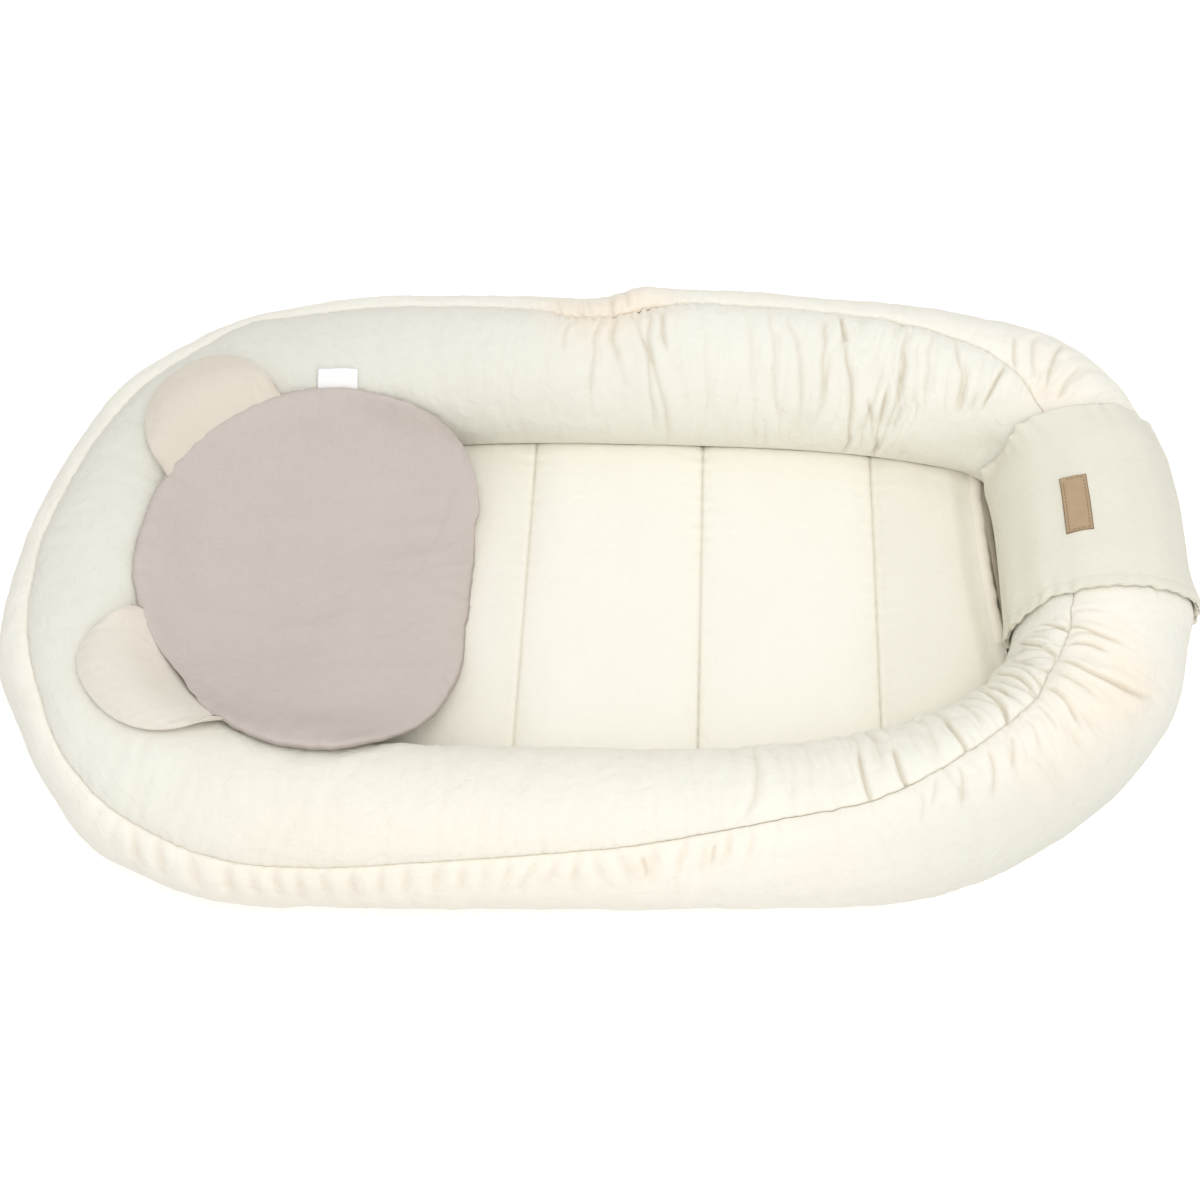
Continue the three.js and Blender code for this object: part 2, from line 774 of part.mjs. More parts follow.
const pillowX = pillow.fromHead - half;

function pillowPlace(angle, share, beyond = 0) {
  const distance = pillowOutline(angle) * share + beyond;
  const x = pillowX + distance * Math.cos(angle * toRadians);
  const y = pillow.y + distance * Math.sin(angle * toRadians);
  return [x, y];
}

// The nest's upper surface, with the room that a soft piece keeps above it
function restHeight(x, y, clear) {
  const { frame, distance } = nearestRoll(x, y);
  const onFloor = floorTop(x, y) + cloth.gap;
  const clearRadius = frame.radius + clear;
  if (distance >= clearRadius) {
    return onFloor;
  }
  return Math.max(onFloor, frame.height + Math.sqrt(clearRadius ** 2 - distance ** 2));
}

// A soft sheet settled on what is under it: each point hangs a little below the mean of its
// neighbours, never lower than its own rest. Links name each point's neighbours.
function settle(rest, links, rounds, sag, held = []) {
  let heights = rest.slice();
  for (let round = 0; round < rounds; round += 1) {
    heights = heights.map((height, i) => {
      if (held.includes(i)) {
        return height;
      }
      const mean = links[i].reduce((sum, k) => sum + heights[k], 0) / links[i].length;
      return Math.max(rest[i], mean - sag);
    });
  }
  return heights;
}

function cushionHalf(fullness, thickness) {
  const thin = cloth.gap / 2 + cloth.sheet;
  return thin + (thickness / 2 - thin) * fullness;
}

const pillowFullness = [1, ...pillowRingShares.map((share) => (1 - share ** crownPower) ** edgePower)];

function pillowSurface() {
  const places = [[pillowX, pillow.y]];
  const fullness = [pillowFullness[0]];
  const links = [Array.from({ length: pillowSegments }, (_, j) => 1 + j)];
  const rings = pillowRingShares.length;
  for (let k = 0; k < rings; k += 1) {
    for (let j = 0; j < pillowSegments; j += 1) {
      places.push(pillowPlace((360 * j) / pillowSegments, pillowRingShares[k]));
      fullness.push(pillowFullness[k + 1]);
      const at = (ring, spoke) => 1 + ring * pillowSegments + ((spoke + pillowSegments) % pillowSegments);
      const inward = k === 0 ? 0 : at(k - 1, j);
      const outward = k === rings - 1 ? [] : [at(k + 1, j)];
      links.push([inward, ...outward, at(k, j - 1), at(k, j + 1)]);
    }
  }
  const rest = places.map((place, i) => {
    return restHeight(...place, pillow.rollClear) + cushionHalf(fullness[i], pillow.thickness);
  });
  const middle = settle(rest, links, settleRounds, pillow.sag);
  return { places, fullness, middle };
}

const pillowShape = pillowSurface();

function pillowRings(heightOf, lastRing) {
  const { places, fullness, middle } = pillowShape;
  const point = (i) => [...places[i], middle[i] + heightOf(fullness[i])];
  const rings = [[point(0)]];
  for (let k = 0; k < lastRing; k += 1) {
    rings.push(Array.from({ length: pillowSegments }, (_, j) => point(1 + k * pillowSegments + j)));
  }
  return rings;
}

const allRings = pillowRingShares.length;

function pillowCover(side) {
  const skin = pillowRings((full) => side * cushionHalf(full, pillow.thickness), allRings);
  const lining = pillowRings((full) => side * (cushionHalf(full, pillow.thickness) - cloth.sheet), allRings);
  return lens(skin, lining);
}

function pillowStuffing() {
  const room = (full) => cushionHalf(full, pillow.thickness) - cloth.sheet - cloth.gap;
  return lens(pillowRings(room, allRings - 1), pillowRings((full) => -room(full), allRings - 1));
}

// Ears: two-sided padded half rounds sewn to the pillow's head edge

function pillowRimHeight(angle) {
  const spoke = (angle * pillowSegments) / 360;
  const low = Math.floor(spoke);
  const at = (j) => pillowShape.middle[1 + (allRings - 1) * pillowSegments + (j % pillowSegments)];
  return mix(at(low), at(low + 1), spoke - low);
}

function earSurface({ middleAngle, halfAngle, pointAngle }) {
  const ends = [-halfAngle, halfAngle].map((off) => pillowPlace(middleAngle + off, 1, ear.seamGap));
  const chord = [ends[1][0] - ends[0][0], ends[1][1] - ends[0][1]];
  const outward = [Math.cos(pointAngle * toRadians), Math.sin(pointAngle * toRadians)];
  const places = [];
  const fullness = [];
  const rest = [];
  const links = [];
  const held = [];
  for (let i = 0; i <= earColumns; i += 1) {
    const share = i / earColumns;
    const angle = mix(middleAngle - halfAngle, middleAngle + halfAngle, share);
    const base = pillowPlace(angle, 1, ear.seamGap);
    const round = (1 - Math.abs(2 * share - 1) ** earSquareness) ** (1 / earSquareness);
    const rise = ear.root + (ear.height - ear.root) * round;
    const tip = [0, 1].map((axis) => ends[0][axis] + chord[axis] * share + outward[axis] * rise);
    for (let j = 0; j <= earRows; j += 1) {
      const up = j / earRows;
      const place = [mix(base[0], tip[0], up), mix(base[1], tip[1], up)];
      const full = Math.sin(Math.PI * up) ** earUpPower * Math.sin(Math.PI * share) ** earAcrossPower;
      const index = i * (earRows + 1) + j;
      places.push(place);
      fullness.push(full);
      rest.push(restHeight(...place, pillow.rollClear) + cushionHalf(fullness[index], ear.thickness));
      if (j === 0) {
        rest[index] = Math.max(rest[index], pillowRimHeight(angle));
        held.push(index);
      }
      const acrossEar = [i > 0 ? index - earRows - 1 : -1, i < earColumns ? index + earRows + 1 : -1];
      const upEar = [j > 0 ? index - 1 : -1, j < earRows ? index + 1 : -1];
      links.push([...acrossEar, ...upEar].filter((k) => k >= 0));
    }
  }
  return { places, fullness, middle: settle(rest, links, settleRounds, 0, held) };
}

function earGrid(shape, heightOf, trim) {
  const rows = [];
  for (let i = trim; i <= earColumns - trim; i += 1) {
    const row = [];
    for (let j = trim; j <= earRows - trim; j += 1) {
      const index = i * (earRows + 1) + j;
      row.push([...shape.places[index], shape.middle[index] + heightOf(shape.fullness[index])]);
    }
    rows.push(row);
  }
  return rows;
}

function earCover(shape, side) {
  const skin = earGrid(shape, (full) => side * cushionHalf(full, ear.thickness), 0);
  const lining = earGrid(shape, (full) => side * (cushionHalf(full, ear.thickness) - cloth.sheet), 0);
  return plate(skin, lining);
}

function earPadding(shape) {
  const room = (full) => cushionHalf(full, ear.thickness) - cloth.sheet - cloth.gap;
  return plate(earGrid(shape, room, 1), earGrid(shape, (full) => -room(full), 1));
}

// Care label: a satin tab that sticks out of the pillow's far seam and lies on the bumper
function careLabelTab() {
  const cells = 3;
  const skin = (lift) =>
    Array.from({ length: cells + 1 }, (_, i) =>
      Array.from({ length: cells + 1 }, (_, j) => {
        const x = careLabel.fromHead - half + careLabel.width * (i / cells - 0.5);
        const along = Math.abs(x - pillowX) / pillow.headReach;
        const power = pillowSquarenessShares.headFar;
        const edge = pillow.y + pillow.farReach * (1 - along ** power) ** (1 / power);
        const y = edge + ear.seamGap + (careLabel.length * j) / cells;
        return [x, y, restHeight(x, y, careLabel.clear) + lift];
      }),
    );
  return plate(skin(careLabel.thickness), skin(0));
}

// Finishes

const finishes = {
  cream: { color: 0xf3eee1, roughness: 0.92 },
  innerCream: { color: 0xf1eddf, roughness: 0.92 },
  floorCream: { color: 0xf8f2e4, roughness: 0.93 },
  cuffCream: { color: 0xebe8d9, roughness: 0.9 },
  wadding: { color: 0xfafaf5, roughness: 1 },
  lining: { color: 0xefeadd, roughness: 0.95 },
  greige: { color: 0xccc2bb, roughness: 0.9 },
  earCream: { color: 0xe2dbd0, roughness: 0.92 },
  leather: { color: 0xb69e80, roughness: 0.6 },
  satin: { color: 0xf4f4f2, roughness: 0.45 },
  tape: { color: 0xe6e2d6, roughness: 0.8 },
};

const lounger = new THREE.Group();

function add(name, finish, geometry) {
  const material = new THREE.MeshStandardMaterial({ ...finishes[finish], metalness: 0 });
  geometry.computeVertexNormals();
  const mesh = new THREE.Mesh(geometry, material);
  mesh.name = name;
  lounger.add(mesh);
}

add("base_sheet", "lining", baseSheet());
floorFillings().forEach((filling, k) => add(`floor_filling_${k + 1}`, "wadding", filling));
add("mattress_top", "floorCream", mattressTop());
add("foot_edge_binding", "cream", footEdgeBinding());

add("bumper_stuffing", "wadding", bumperStuffing());
add("bumper_inner_panel", "innerCream", bumperInnerPanel());
add("bumper_outer_panel", "cream", bumperOuterPanel());
add("bumper_end_cap_far", "lining", endCap(1));
add("bumper_end_cap_near", "lining", endCap(-1));

add("cuff_face", "cuffCream", cuffLayer(0, cloth.sheet));
add("cuff_batting", "wadding", cuffLayer(cloth.sheet + cloth.gap, cuff.batting));
add("cuff_lining", "lining", cuffLayer(cuffInset - cloth.sheet, cloth.sheet));
add("loop_tape", "tape", tape(0));
add("hook_tape", "tape", tape(1));
add("tab_lining", "lining", tabLayer(0));
add("tab_face", "cuffCream", tabLayer(1));
add("leather_label", "leather", leatherLabel());

add("pillow_front", "greige", pillowCover(1));
add("pillow_back", "greige", pillowCover(-1));
add("pillow_stuffing", "wadding", pillowStuffing());
for (const place of ears) {
  const shape = earSurface(place);
  add(`ear_${place.name}_front`, "earCream", earCover(shape, 1));
  add(`ear_${place.name}_back`, "earCream", earCover(shape, -1));
  add(`ear_${place.name}_padding`, "wadding", earPadding(shape));
}
add("care_label", "satin", careLabelTab());

// The origin is on the floor, under the middle of the whole part
const whole = new THREE.Box3().setFromObject(lounger);
lounger.position.set(-(whole.min.x + whole.max.x) / 2, -(whole.min.y + whole.max.y) / 2, -whole.min.z);

export default lounger;
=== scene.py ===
import math

import bpy
import numpy as np
from mathutils import Matrix, Vector


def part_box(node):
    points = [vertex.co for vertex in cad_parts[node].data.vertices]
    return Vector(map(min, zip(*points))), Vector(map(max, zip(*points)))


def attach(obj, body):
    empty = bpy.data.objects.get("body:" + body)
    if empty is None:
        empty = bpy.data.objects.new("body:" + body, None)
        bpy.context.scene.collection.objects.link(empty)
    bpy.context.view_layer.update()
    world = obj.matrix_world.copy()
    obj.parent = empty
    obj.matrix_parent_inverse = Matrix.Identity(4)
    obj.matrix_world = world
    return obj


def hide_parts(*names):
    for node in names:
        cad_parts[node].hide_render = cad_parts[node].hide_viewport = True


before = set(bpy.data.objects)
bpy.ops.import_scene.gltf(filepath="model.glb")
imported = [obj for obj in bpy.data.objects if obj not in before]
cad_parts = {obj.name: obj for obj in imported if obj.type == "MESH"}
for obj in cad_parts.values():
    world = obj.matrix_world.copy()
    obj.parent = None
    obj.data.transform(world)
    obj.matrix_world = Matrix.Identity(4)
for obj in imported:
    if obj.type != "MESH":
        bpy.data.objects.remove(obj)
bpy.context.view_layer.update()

# Lengths are millimetres from the nest's own middle, +X to the foot, +Y to the far arm. Angles
# round the roll run from 0, straight outwards, over 90, the top, to 180, the side at the floor pad.
metre = 0.001
toRadians = math.pi / 180
rng = np.random.default_rng(7)

cloth = {"sheet": 1.2, "gap": 0.3}
nest = {"length": 900, "farArm": 204.3, "nearArm": 192.2, "bow": -12.7, "footSwing": 12.6, "directionSpan": 6}
nestSquareness = {"footFar": 4.55, "footNear": 2.42, "headFar": 2.96, "headNear": 3.37}
bumper = {
    "radius": 60.4, "endSwell": 4.8, "farSwell": 1.4, "settle": 2.5, "endGap": 4,
    "seamValley": 2.2, "seamHalfWidthAngle": 9,      # broad dip along the long seam
    "seamCrease": 2.6, "seamCreaseWidth": 2.4,       # and the sharp line in it
    "lowerEdgeAngle": -68, "mattressEdgeAngle": 232, "seamGapAngle": 0.15,
    "undersideReach": 21, "stuffingEase": 9, "foldsEndAngle": 190, "foldsEndFade": 20,
    "stations": 1420, "columns": 58, "liningColumns": 5,
}
cuff = {
    "near": -11, "far": 138, "drift": -14, "driftAngle": 190, "driftSpreadAngle": 46,
    "batting": 2, "ease": 1.5, "grip": 4, "fade": 18, "slotMargin": 7,
    "proud": 5.5,                                    # it stands out from the roll beside it
    "farTrim": -6, "farTrimAngle": 150, "farTrimSpreadAngle": 20, "lowTrim": -20, "lowTrimAngle": 182,
    "lowTrimFade": 22, "lowTrimEndAngle": 275, "lowTrimEndFade": 40,
    "farWide": 10, "farWideAngle": 60, "farWideSpreadAngle": 38,
    "hem": 8.5,
    "flare": 7, "flareAngle": 25, "flareSpreadAngle": 38, "flareReach": 20,
    "slitAngle": -38, "slitGapAngle": 0.3,
}
# The roll is drawn in where the cuff ends at the far arm, on the side of the floor
pinch = {"depth": 14, "length": 45, "wayShare": 0.0917, "angle": 165, "spreadAngle": 30, "floorAngle": 188}
tab = {"near": -5, "far": 88, "hingeAngle": -26, "tipAngle": -57, "tape": 1, "tapeMargin": 7,
       "tapeStartAngle": -41, "tapeEndAngle": -55, "radius": 64}
label = {"near": 34, "far": 81, "thickness": 1.4, "lift": 1.4, "lowAngle": 106, "highAngle": 122,
         "seam": 2.2, "stitchPitch": 2.9, "stitchLength": 2.0, "threadRadius": 0.26}
careLabel = {"width": 31, "length": 15, "thickness": 0.6, "x": -217.5, "clear": 0.8, "rootGap": 0.6,
             "wave": 0.35, "waveTurn": 9, "lift": 0.2}
floorPad = {
    "top": 31, "seamTop": 24, "footTop": 24, "firstSeam": -62.5, "seamStep": 142.5,
    "footFar": 315, "footNear": 324.5, "footBend": 2.2, "edgeFade": 34, "edgeDropShare": 0.3, "edgeTuck": 4,
    "footFade": 22, "squareness": 5, "flange": 7, "binding": 1.2, "tuckUnder": 12, "tuckClear": -0.3,
}
pillow = {
    "x": -194, "y": -7, "footReach": 95, "headReach": 154, "farReach": 148, "nearReach": 152,
    "thickness": 26, "rollClear": 2.2, "sag": 1.1, "crownPower": 2.6, "edgePower": 0.62,
    "footTrim": 6.5, "footTrimFrom": -38, "footTrimTo": 41,       # the foot side is cut back to a small corner
    "trims": [(48, 10, 3.5), (66, 14, 5.0), (222, 14, 5.5)],      # angle, spread and depth of smaller cuts
    "nearLift": 2.5, "nearLiftAngle": 272, "nearLiftSpreadAngle": 26,       # the rim stands off the roll there
    "spokes": 384, "rings": 64,
}
pillowSquareness = {"footFar": 4.2, "footNear": 2.1, "headFar": 2.15, "headNear": 1.95}
pillowKnots = np.array([0, 0.3, 0.55, 0.75, 0.89, 0.97, 1.0])
pillowSpokes = 32
settleRounds = 80
ear = {"height": 68, "root": 10, "thickness": 13, "seamGap": -6, "halfAngle": 21.5, "squareness": 2.3,
       "upPower": 0.7, "acrossPower": 0.5, "columns": 10, "rows": 5}
earMiddleAngles = {"Far": 137, "Near": 221}
earPointAngles = {"Far": 130, "Near": 211}


def boxMiddle(node, axis):
    low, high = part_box(node)
    return (low[axis] + high[axis]) / 2 / metre


# where the nest's middle lies in the frame, read off a label and a tab whose places are known
shift = np.array([
    boxMiddle("care_label", 0) - careLabel["x"],
    boxMiddle("tab_face", 1) - (tab["near"] + tab["far"]) / 2,
    0.0,
])


def smooth(share):
    t = np.clip(share, 0, 1)
    return t * t * (3 - 2 * t)


def mix(a, b, share):
    return a + (b - a) * share


# A bell of height 1: exp of minus the square of the offset over the spread
def bell(offset, spread):
    return np.exp(-(offset / spread) ** 2)


# A bell round the roll, whose height, angle and spread a dictionary holds under one name
def hump(table, name, angle):
    return table[name] * bell(angle - table[name + "Angle"], table[name + "SpreadAngle"])


# 1 between two places along the roll, with a smooth fade of 60 mm inside each
def between(way, low, high):
    return smooth((way - low) / 60) * smooth((high - way) / 60)


# Shares from 0 to 1 that lie closer together at both ends
def crowded(count, endpoint=True):
    return 0.5 - 0.5 * np.cos(np.pi * np.linspace(0, 1, count, endpoint=endpoint))


# A few of many columns, evenly spaced
def spaced(count, wanted):
    return np.linspace(0, count - 1, wanted).round().astype(int)


def stacked(*coordinates):
    return np.stack(np.broadcast_arrays(*coordinates), -1)


# Distance of each point of a line from its first, along the line
def lengthAlong(x, y):
    return np.concatenate([[0], np.cumsum(np.hypot(np.diff(x), np.diff(y)))])


# Rounded edge, a quarter circle: 1 at the edge itself and 0 from the reach on
def edgeRound(fromEdge, reach):
    return 1 - np.sqrt(1 - (1 - np.clip(fromEdge / reach, 0, 1)) ** 2)


# A cubic through knots, with the mean of the slopes on both sides as the slope at each knot
def curveThrough(knots, values, at):
    knots = np.asarray(knots, float)
    values = np.asarray(values, float)
    steps = (values[1:] - values[:-1]) / (knots[1:] - knots[:-1]).reshape((-1,) + (1,) * (values.ndim - 1))
    slopes = np.concatenate([steps[:1], (steps[1:] + steps[:-1]) / 2, steps[-1:]])
    k = np.clip(np.searchsorted(knots, at, side="right") - 1, 0, len(knots) - 2)
    width = knots[k + 1] - knots[k]
    t = (at - knots[k]) / width
    extra = (1,) * (values.ndim - 1)
    t, width = t.reshape(t.shape + extra), width.reshape(width.shape + extra)
    near = (1 + 2 * t) * (1 - t) ** 2 * values[k] + t * (1 - t) ** 2 * width * slopes[k]
    return near + t * t * (3 - 2 * t) * values[k + 1] + t * t * (t - 1) * width * slopes[k + 1]


# Soft noise: the mean of several cosines of random length and phase, along one way and across it
def ripples(along, across, shortest, longest, tilt, count=9):
    total = np.zeros(np.broadcast(along, across).shape)
    for _ in range(count):
        length = rng.uniform(shortest, longest)
        total += np.cos(2 * np.pi * along / length + rng.uniform(-tilt, tilt) * across + rng.uniform(0, 6.28))
    return total / math.sqrt(count)


# A random field: random heights at the corners of a square net, joined by smooth curves
def field(u, v, net):
    u, v = np.broadcast_arrays(u, v)
    i, j = np.floor(u).astype(int), np.floor(v).astype(int)
    a, b = smooth(u - i), smooth(v - j)
    rows, columns = net.shape

    def corner(p, q):
        return net[np.mod(p, rows), np.mod(q, columns)]

    return mix(mix(corner(i, j), corner(i + 1, j), a), mix(corner(i, j + 1), corner(i + 1, j + 1), a), b)


fieldNets = [rng.uniform(-1, 1, (211, 61)) for _ in range(6)]


# Gathered cloth, 1 in its valleys and 0 on its ridges: creases lie where a stretched random field
# changes sign, long across the cloth and close together along it, bent by a slower field
def gathered(along, across, pitch=15.0):
    bent = along + 0.5 * pitch * field(along / 60, across / 40, fieldNets[0])
    wide = 1 - np.abs(field(bent / pitch, across / 70, fieldNets[1]))
    fine = 1 - np.abs(field(bent / (0.5 * pitch), across / 32, fieldNets[2]))
    return 0.6 * wide ** 3 + 0.4 * fine ** 3


# Crumpled cloth without a main direction, from -1 to 1
def crumpled(along, across, size):
    u, v = along / size, across / size
    turned = 1 - 2 * np.abs(field(u + 0.4 * v, v - 0.3 * u, fieldNets[3]))
    return 0.7 * turned + 0.3 * field(2.3 * u, 2.1 * v, fieldNets[4])


# The middle line of the roll: a rounded oblong, each quarter a superellipse of its own
half = nest["length"] / 2


def squarenessOf(table, alongFoot, acrossFar):
    foot = np.where(acrossFar > 0, table["footFar"], table["footNear"])
    head = np.where(acrossFar > 0, table["headFar"], table["headNear"])
    return np.where(alongFoot > 0, foot, head)


def middleLine(turn):
    c, s = np.cos(turn * 2 * np.pi), np.sin(turn * 2 * np.pi)
    power = 2 / squarenessOf(nestSquareness, c, s)
    x = (half - bumper["radius"] - bumper["endSwell"]) * np.sign(c) * np.abs(c) ** power
    arm = np.where(s > 0, nest["farArm"], nest["nearArm"])
    along = x / half
    y = arm * np.sign(s) * np.abs(s) ** power + nest["footSwing"] * along + nest["bow"] * along ** 2
    return x, y


lineX, lineY = middleLine(np.linspace(0, 1, 2881))
lineWay = lengthAlong(lineX, lineY)
wayRound = lineWay[-1]


def pointAt(way):
    wanted = np.mod(way, wayRound)
    return np.interp(wanted, lineWay, lineX), np.interp(wanted, lineWay, lineY)


# Place, outward direction and section radius of the roll at a distance along its middle line
def rollAt(way):
    x, y = pointAt(way)
    beforeX, beforeY = pointAt(way - nest["directionSpan"])
    afterX, afterY = pointAt(way + nest["directionSpan"])
    size = np.hypot(afterX - beforeX, afterY - beforeY)
    radius = bumper["radius"] + bumper["endSwell"] * (x / half) ** 2 + bumper["farSwell"] * y / nest["farArm"]
    return {"x": x, "y": y, "way": way, "outX": (afterY - beforeY) / size, "outY": (beforeX - afterX) / size,
            "radius": radius, "height": radius - bumper["settle"]}


# A bell along the way times a bell round the roll
def pinchAt(way, angle):
    along = bell(way - pinch["wayShare"] * wayRound, pinch["length"])
    return pinch["depth"] * along * bell(angle - pinch["angle"], pinch["spreadAngle"])


# A point so far inside the roll's outermost cloth: on a circle, and flat where it rests
def surfacePoint(roll, angle, inset):
    turned = angle * toRadians
    down = -np.sin(turned)
    circle = roll["radius"] - inset - pinchAt(roll["way"], angle)
    flat = (roll["height"] - inset) / np.where(down > 1e-6, down, 1)
    reach = np.where(down > 1e-6, np.minimum(circle, flat), circle)
    out = reach * np.cos(turned)
    x = roll["x"] + out * roll["outX"]
    y = roll["y"] + out * roll["outY"]
    return stacked(x, y, roll["height"] - reach * down)


cuffInset = cloth["sheet"] * 2 + cuff["batting"] + cloth["gap"] * 2


def cuffDrift(angle):
    return hump(cuff, "drift", np.where(angle < bumper["lowerEdgeAngle"], angle + 360, angle))


# The cuff's near edge flares out on the foot side, and the roll under it with it
def cuffFlare(y, angle):
    return hump(cuff, "flare", angle) * bell(y - cuff["near"], cuff["flareReach"])


# The cuff stands out from the roll beside it, but not on its flat underside
def cuffProud(angle):
    return cuff["proud"] * smooth((np.sin(angle * toRadians) + 0.9) / 0.7)


# How far the cuff squeezes the roll, which swells out again beside it
def cuffHeld(roll, angle):
    y = roll["y"] + roll["radius"] * np.cos(angle * toRadians) * roll["outY"] - cuffDrift(angle)
    beyondNear = cuff["near"] - y - cuff["grip"]
    beyondFar = y - cuff["far"] - cuff["grip"]
    held = smooth(1 - beyondNear / cuff["fade"]) * smooth(1 - beyondFar / cuff["fade"])
    return np.where(roll["x"] < 0, 0, held), y


def cuffSqueeze(roll, angle):
    held, y = cuffHeld(roll, angle)
    return (cuffInset + cuff["ease"] - cuffProud(angle)) * held - np.where(roll["x"] < 0, 0, cuffFlare(y, angle))


# Distance along the middle line at which the surface crosses a given y at the foot, by halving
def wayAtY(y, angle, inset):
    low = np.full(np.broadcast(y, angle, inset).shape, -0.12 * wayRound)
    high = -low
    for _ in range(36):
        middle = (low + high) / 2
        below = surfacePoint(rollAt(middle), angle, inset)[..., 1] < y
        low, high = np.where(below, middle, low), np.where(below, high, middle)
    return (low + high) / 2


# The roll's two ends meet in the middle of the cuff
joinWay = float(wayAtY(np.array([cuff["near"], cuff["far"]]), 90.0, 0).mean())

# The long seam: its place as a share of the way round, from the foot by the far side, and its angle
seamKnotShares = [-0.05, -0.02, 0.02, 0.05, 0.086, 0.103, 0.128, 0.146, 0.172, 0.209, 0.232, 0.243, 0.258,
                  0.27, 0.281, 0.291, 0.34, 0.375, 0.407, 0.424, 0.466, 0.48, 0.51, 0.53, 0.565, 0.584, 0.612,
                  0.63, 0.648, 0.67, 0.705, 0.765, 0.826, 0.859, 0.895, 0.916, 0.935, 0.95, 0.98, 1.02]
seamKnotAngles = [125, 125, 121, 118, 109, 94, 79, 72, 66, 65, 64, 68, 75,
                  74, 72, 66, 59, 56, 47, 55, 60, 60, 52, 53, 62, 56, 45,
                  40, 38, 39, 47, 60, 79, 85, 101, 110, 116, 124, 125, 121]


def seamAngleAt(way):
    share = np.mod(way / wayRound + 0.035, 1) - 0.035
    wobble = 0.9 * field(way / 8, 0 * way + 3.4, fieldNets[5]) * (1 - 0.6 * between(way, 600, 1700))
    return curveThrough(seamKnotShares, seamKnotAngles, share) + wobble


# Creases: way and angle at the upper end, way and angle at the lower end, how far the middle of
# the crease is bent along the way, depth and width
creases = {"inner": [
    (214, 97, 217, 160, 2, 4.6, 1.6), (258, 84, 237, 172, -6, 2.6, 2.2), (296, 78, 289, 172, 3, 2.2, 2.0),
    (295, 92, 304, 205, -3, 2.8, 1.9), (306, 130, 300, 205, 2, 4.4, 1.7), (312, 120, 318, 196, 2, 1.8, 2.2),
    (320, 140, 304, 196, -3, 3.4, 1.8), (246, 100, 232, 185, -3, 1.8, 2.0), (228, 120, 224, 190, 2, 1.8, 1.8),
    (240, 150, 230, 200, 1, 2.2, 1.6), (252, 150, 243, 204, 1, 2.0, 1.6), (266, 160, 258, 204, 1, 1.6, 1.8),
    (275, 82, 268, 150, 3, 1.6, 2.2), (284, 88, 280, 140, 2, 1.2, 2.0), (347, 73, 343, 96, 1, 4.6, 1.5),
    (346, 96, 328, 206, -5, 3.6, 2.0), (360, 79, 357, 145, 2, 2.6, 2.2), (389, 82, 374, 162, -3, 2.0, 2.6),
    (404, 76, 387, 180, 3, 1.6, 2.8), (420, 90, 412, 150, 2, 0.9, 2.8), (455, 90, 450, 160, 2, 0.6, 3.0),
    (492, 78, 486, 108, 1, 3.0, 1.8), (501, 79, 494, 176, 3, 2.6, 2.4), (515, 82, 483, 190, -7, 2.8, 2.6),
    (530, 84, 526, 120, 2, 1.8, 2.0), (541, 84, 548, 150, 3, 2.2, 2.2), (566, 84, 572, 110, 1, 1.6, 1.8),
    (1646, 80, 1661, 166, 3, 1.8, 2.6), (1690, 95, 1698, 165, 2, 0.9, 3.0), (1676, 90, 1684, 140, 1, 0.7, 3.0),
    (1731, 84, 1736, 130, -2, 4.6, 1.7), (1736, 130, 1733, 190, 2, 1.6, 2.6), (1748, 110, 1752, 190, 2, 1.6, 2.4),
    (1760, 88, 1761, 124, -2, 4.8, 1.8), (1764, 140, 1770, 195, 2, 1.4, 2.6), (1790, 110, 1796, 185, 3, 1.6, 2.4),
    (1811, 100, 1812, 142, -2, 4.4, 1.7), (1812, 142, 1806, 195, 2, 1.8, 2.6), (1830, 116, 1836, 185, 3, 1.6, 2.4),
    (1850, 109, 1861, 164, 3, 4.6, 1.8), (1868, 130, 1874, 190, 2, 2.2, 2.0), (1886, 119, 1891, 178, 3, 3.8, 1.9),
    (1895, 117, 1906, 172, 2, 3.2, 1.9), (1908, 135, 1918, 186, 2, 1.8, 2.0), (1932, 123, 1964, 184, -4, 3.4, 2.0),
    (1944, 130, 1960, 170, 2, 1.8, 1.8), (1963, 125, 1991, 178, -4, 4.2, 1.9), (1976, 128, 1998, 172, 3, 2.4, 1.9),
    (1996, 128, 2010, 168, 2, 1.6, 1.9),
], "outer": [
    (176, 96, 186, 52, 2, 3.2, 1.8), (190, 92, 202, 58, 2, 1.8, 1.8), (206, 92, 214, 66, 1, 2.6, 1.6),
    (160, 100, 168, 64, 2, 2.2, 1.8), (150, 104, 156, 84, 1, 2.0, 1.6), (518, 70, 522, 40, 2, 2.0, 2.4),
    (1575, 56, 1576, 40, 1, 2.6, 1.6), (1622, 64, 1620, 50, 1, 2.6, 1.5), (1766, 84, 1760, 66, 1, 1.4, 1.8),
    (1779, 90, 1768, 72, 1, 1.8, 1.8), (1799, 94, 1788, 68, 1, 2.4, 1.8), (1823, 97, 1810, 68, 2, 2.6, 1.9),
    (1842, 99, 1831, 80, 1, 2.2, 1.8), (1862, 104, 1856, 84, 1, 1.6, 1.8), (1878, 110, 1874, 88, 1, 2.0, 1.8),
    (1897, 116, 1888, 80, 3, 3.4, 1.9), (1912, 117, 1912, 86, 2, 2.2, 1.8), (1928, 121, 1937, 55, -4, 4.6, 1.9),
    (1947, 121, 1949, 96, 2, 3.2, 1.7), (1958, 122, 1960, 104, 1, 1.8, 1.6), (1968, 124, 1960, 90, -2, 3.4, 1.7),
    (1984, 124, 1982, 104, 1, 1.8, 1.6),
]}
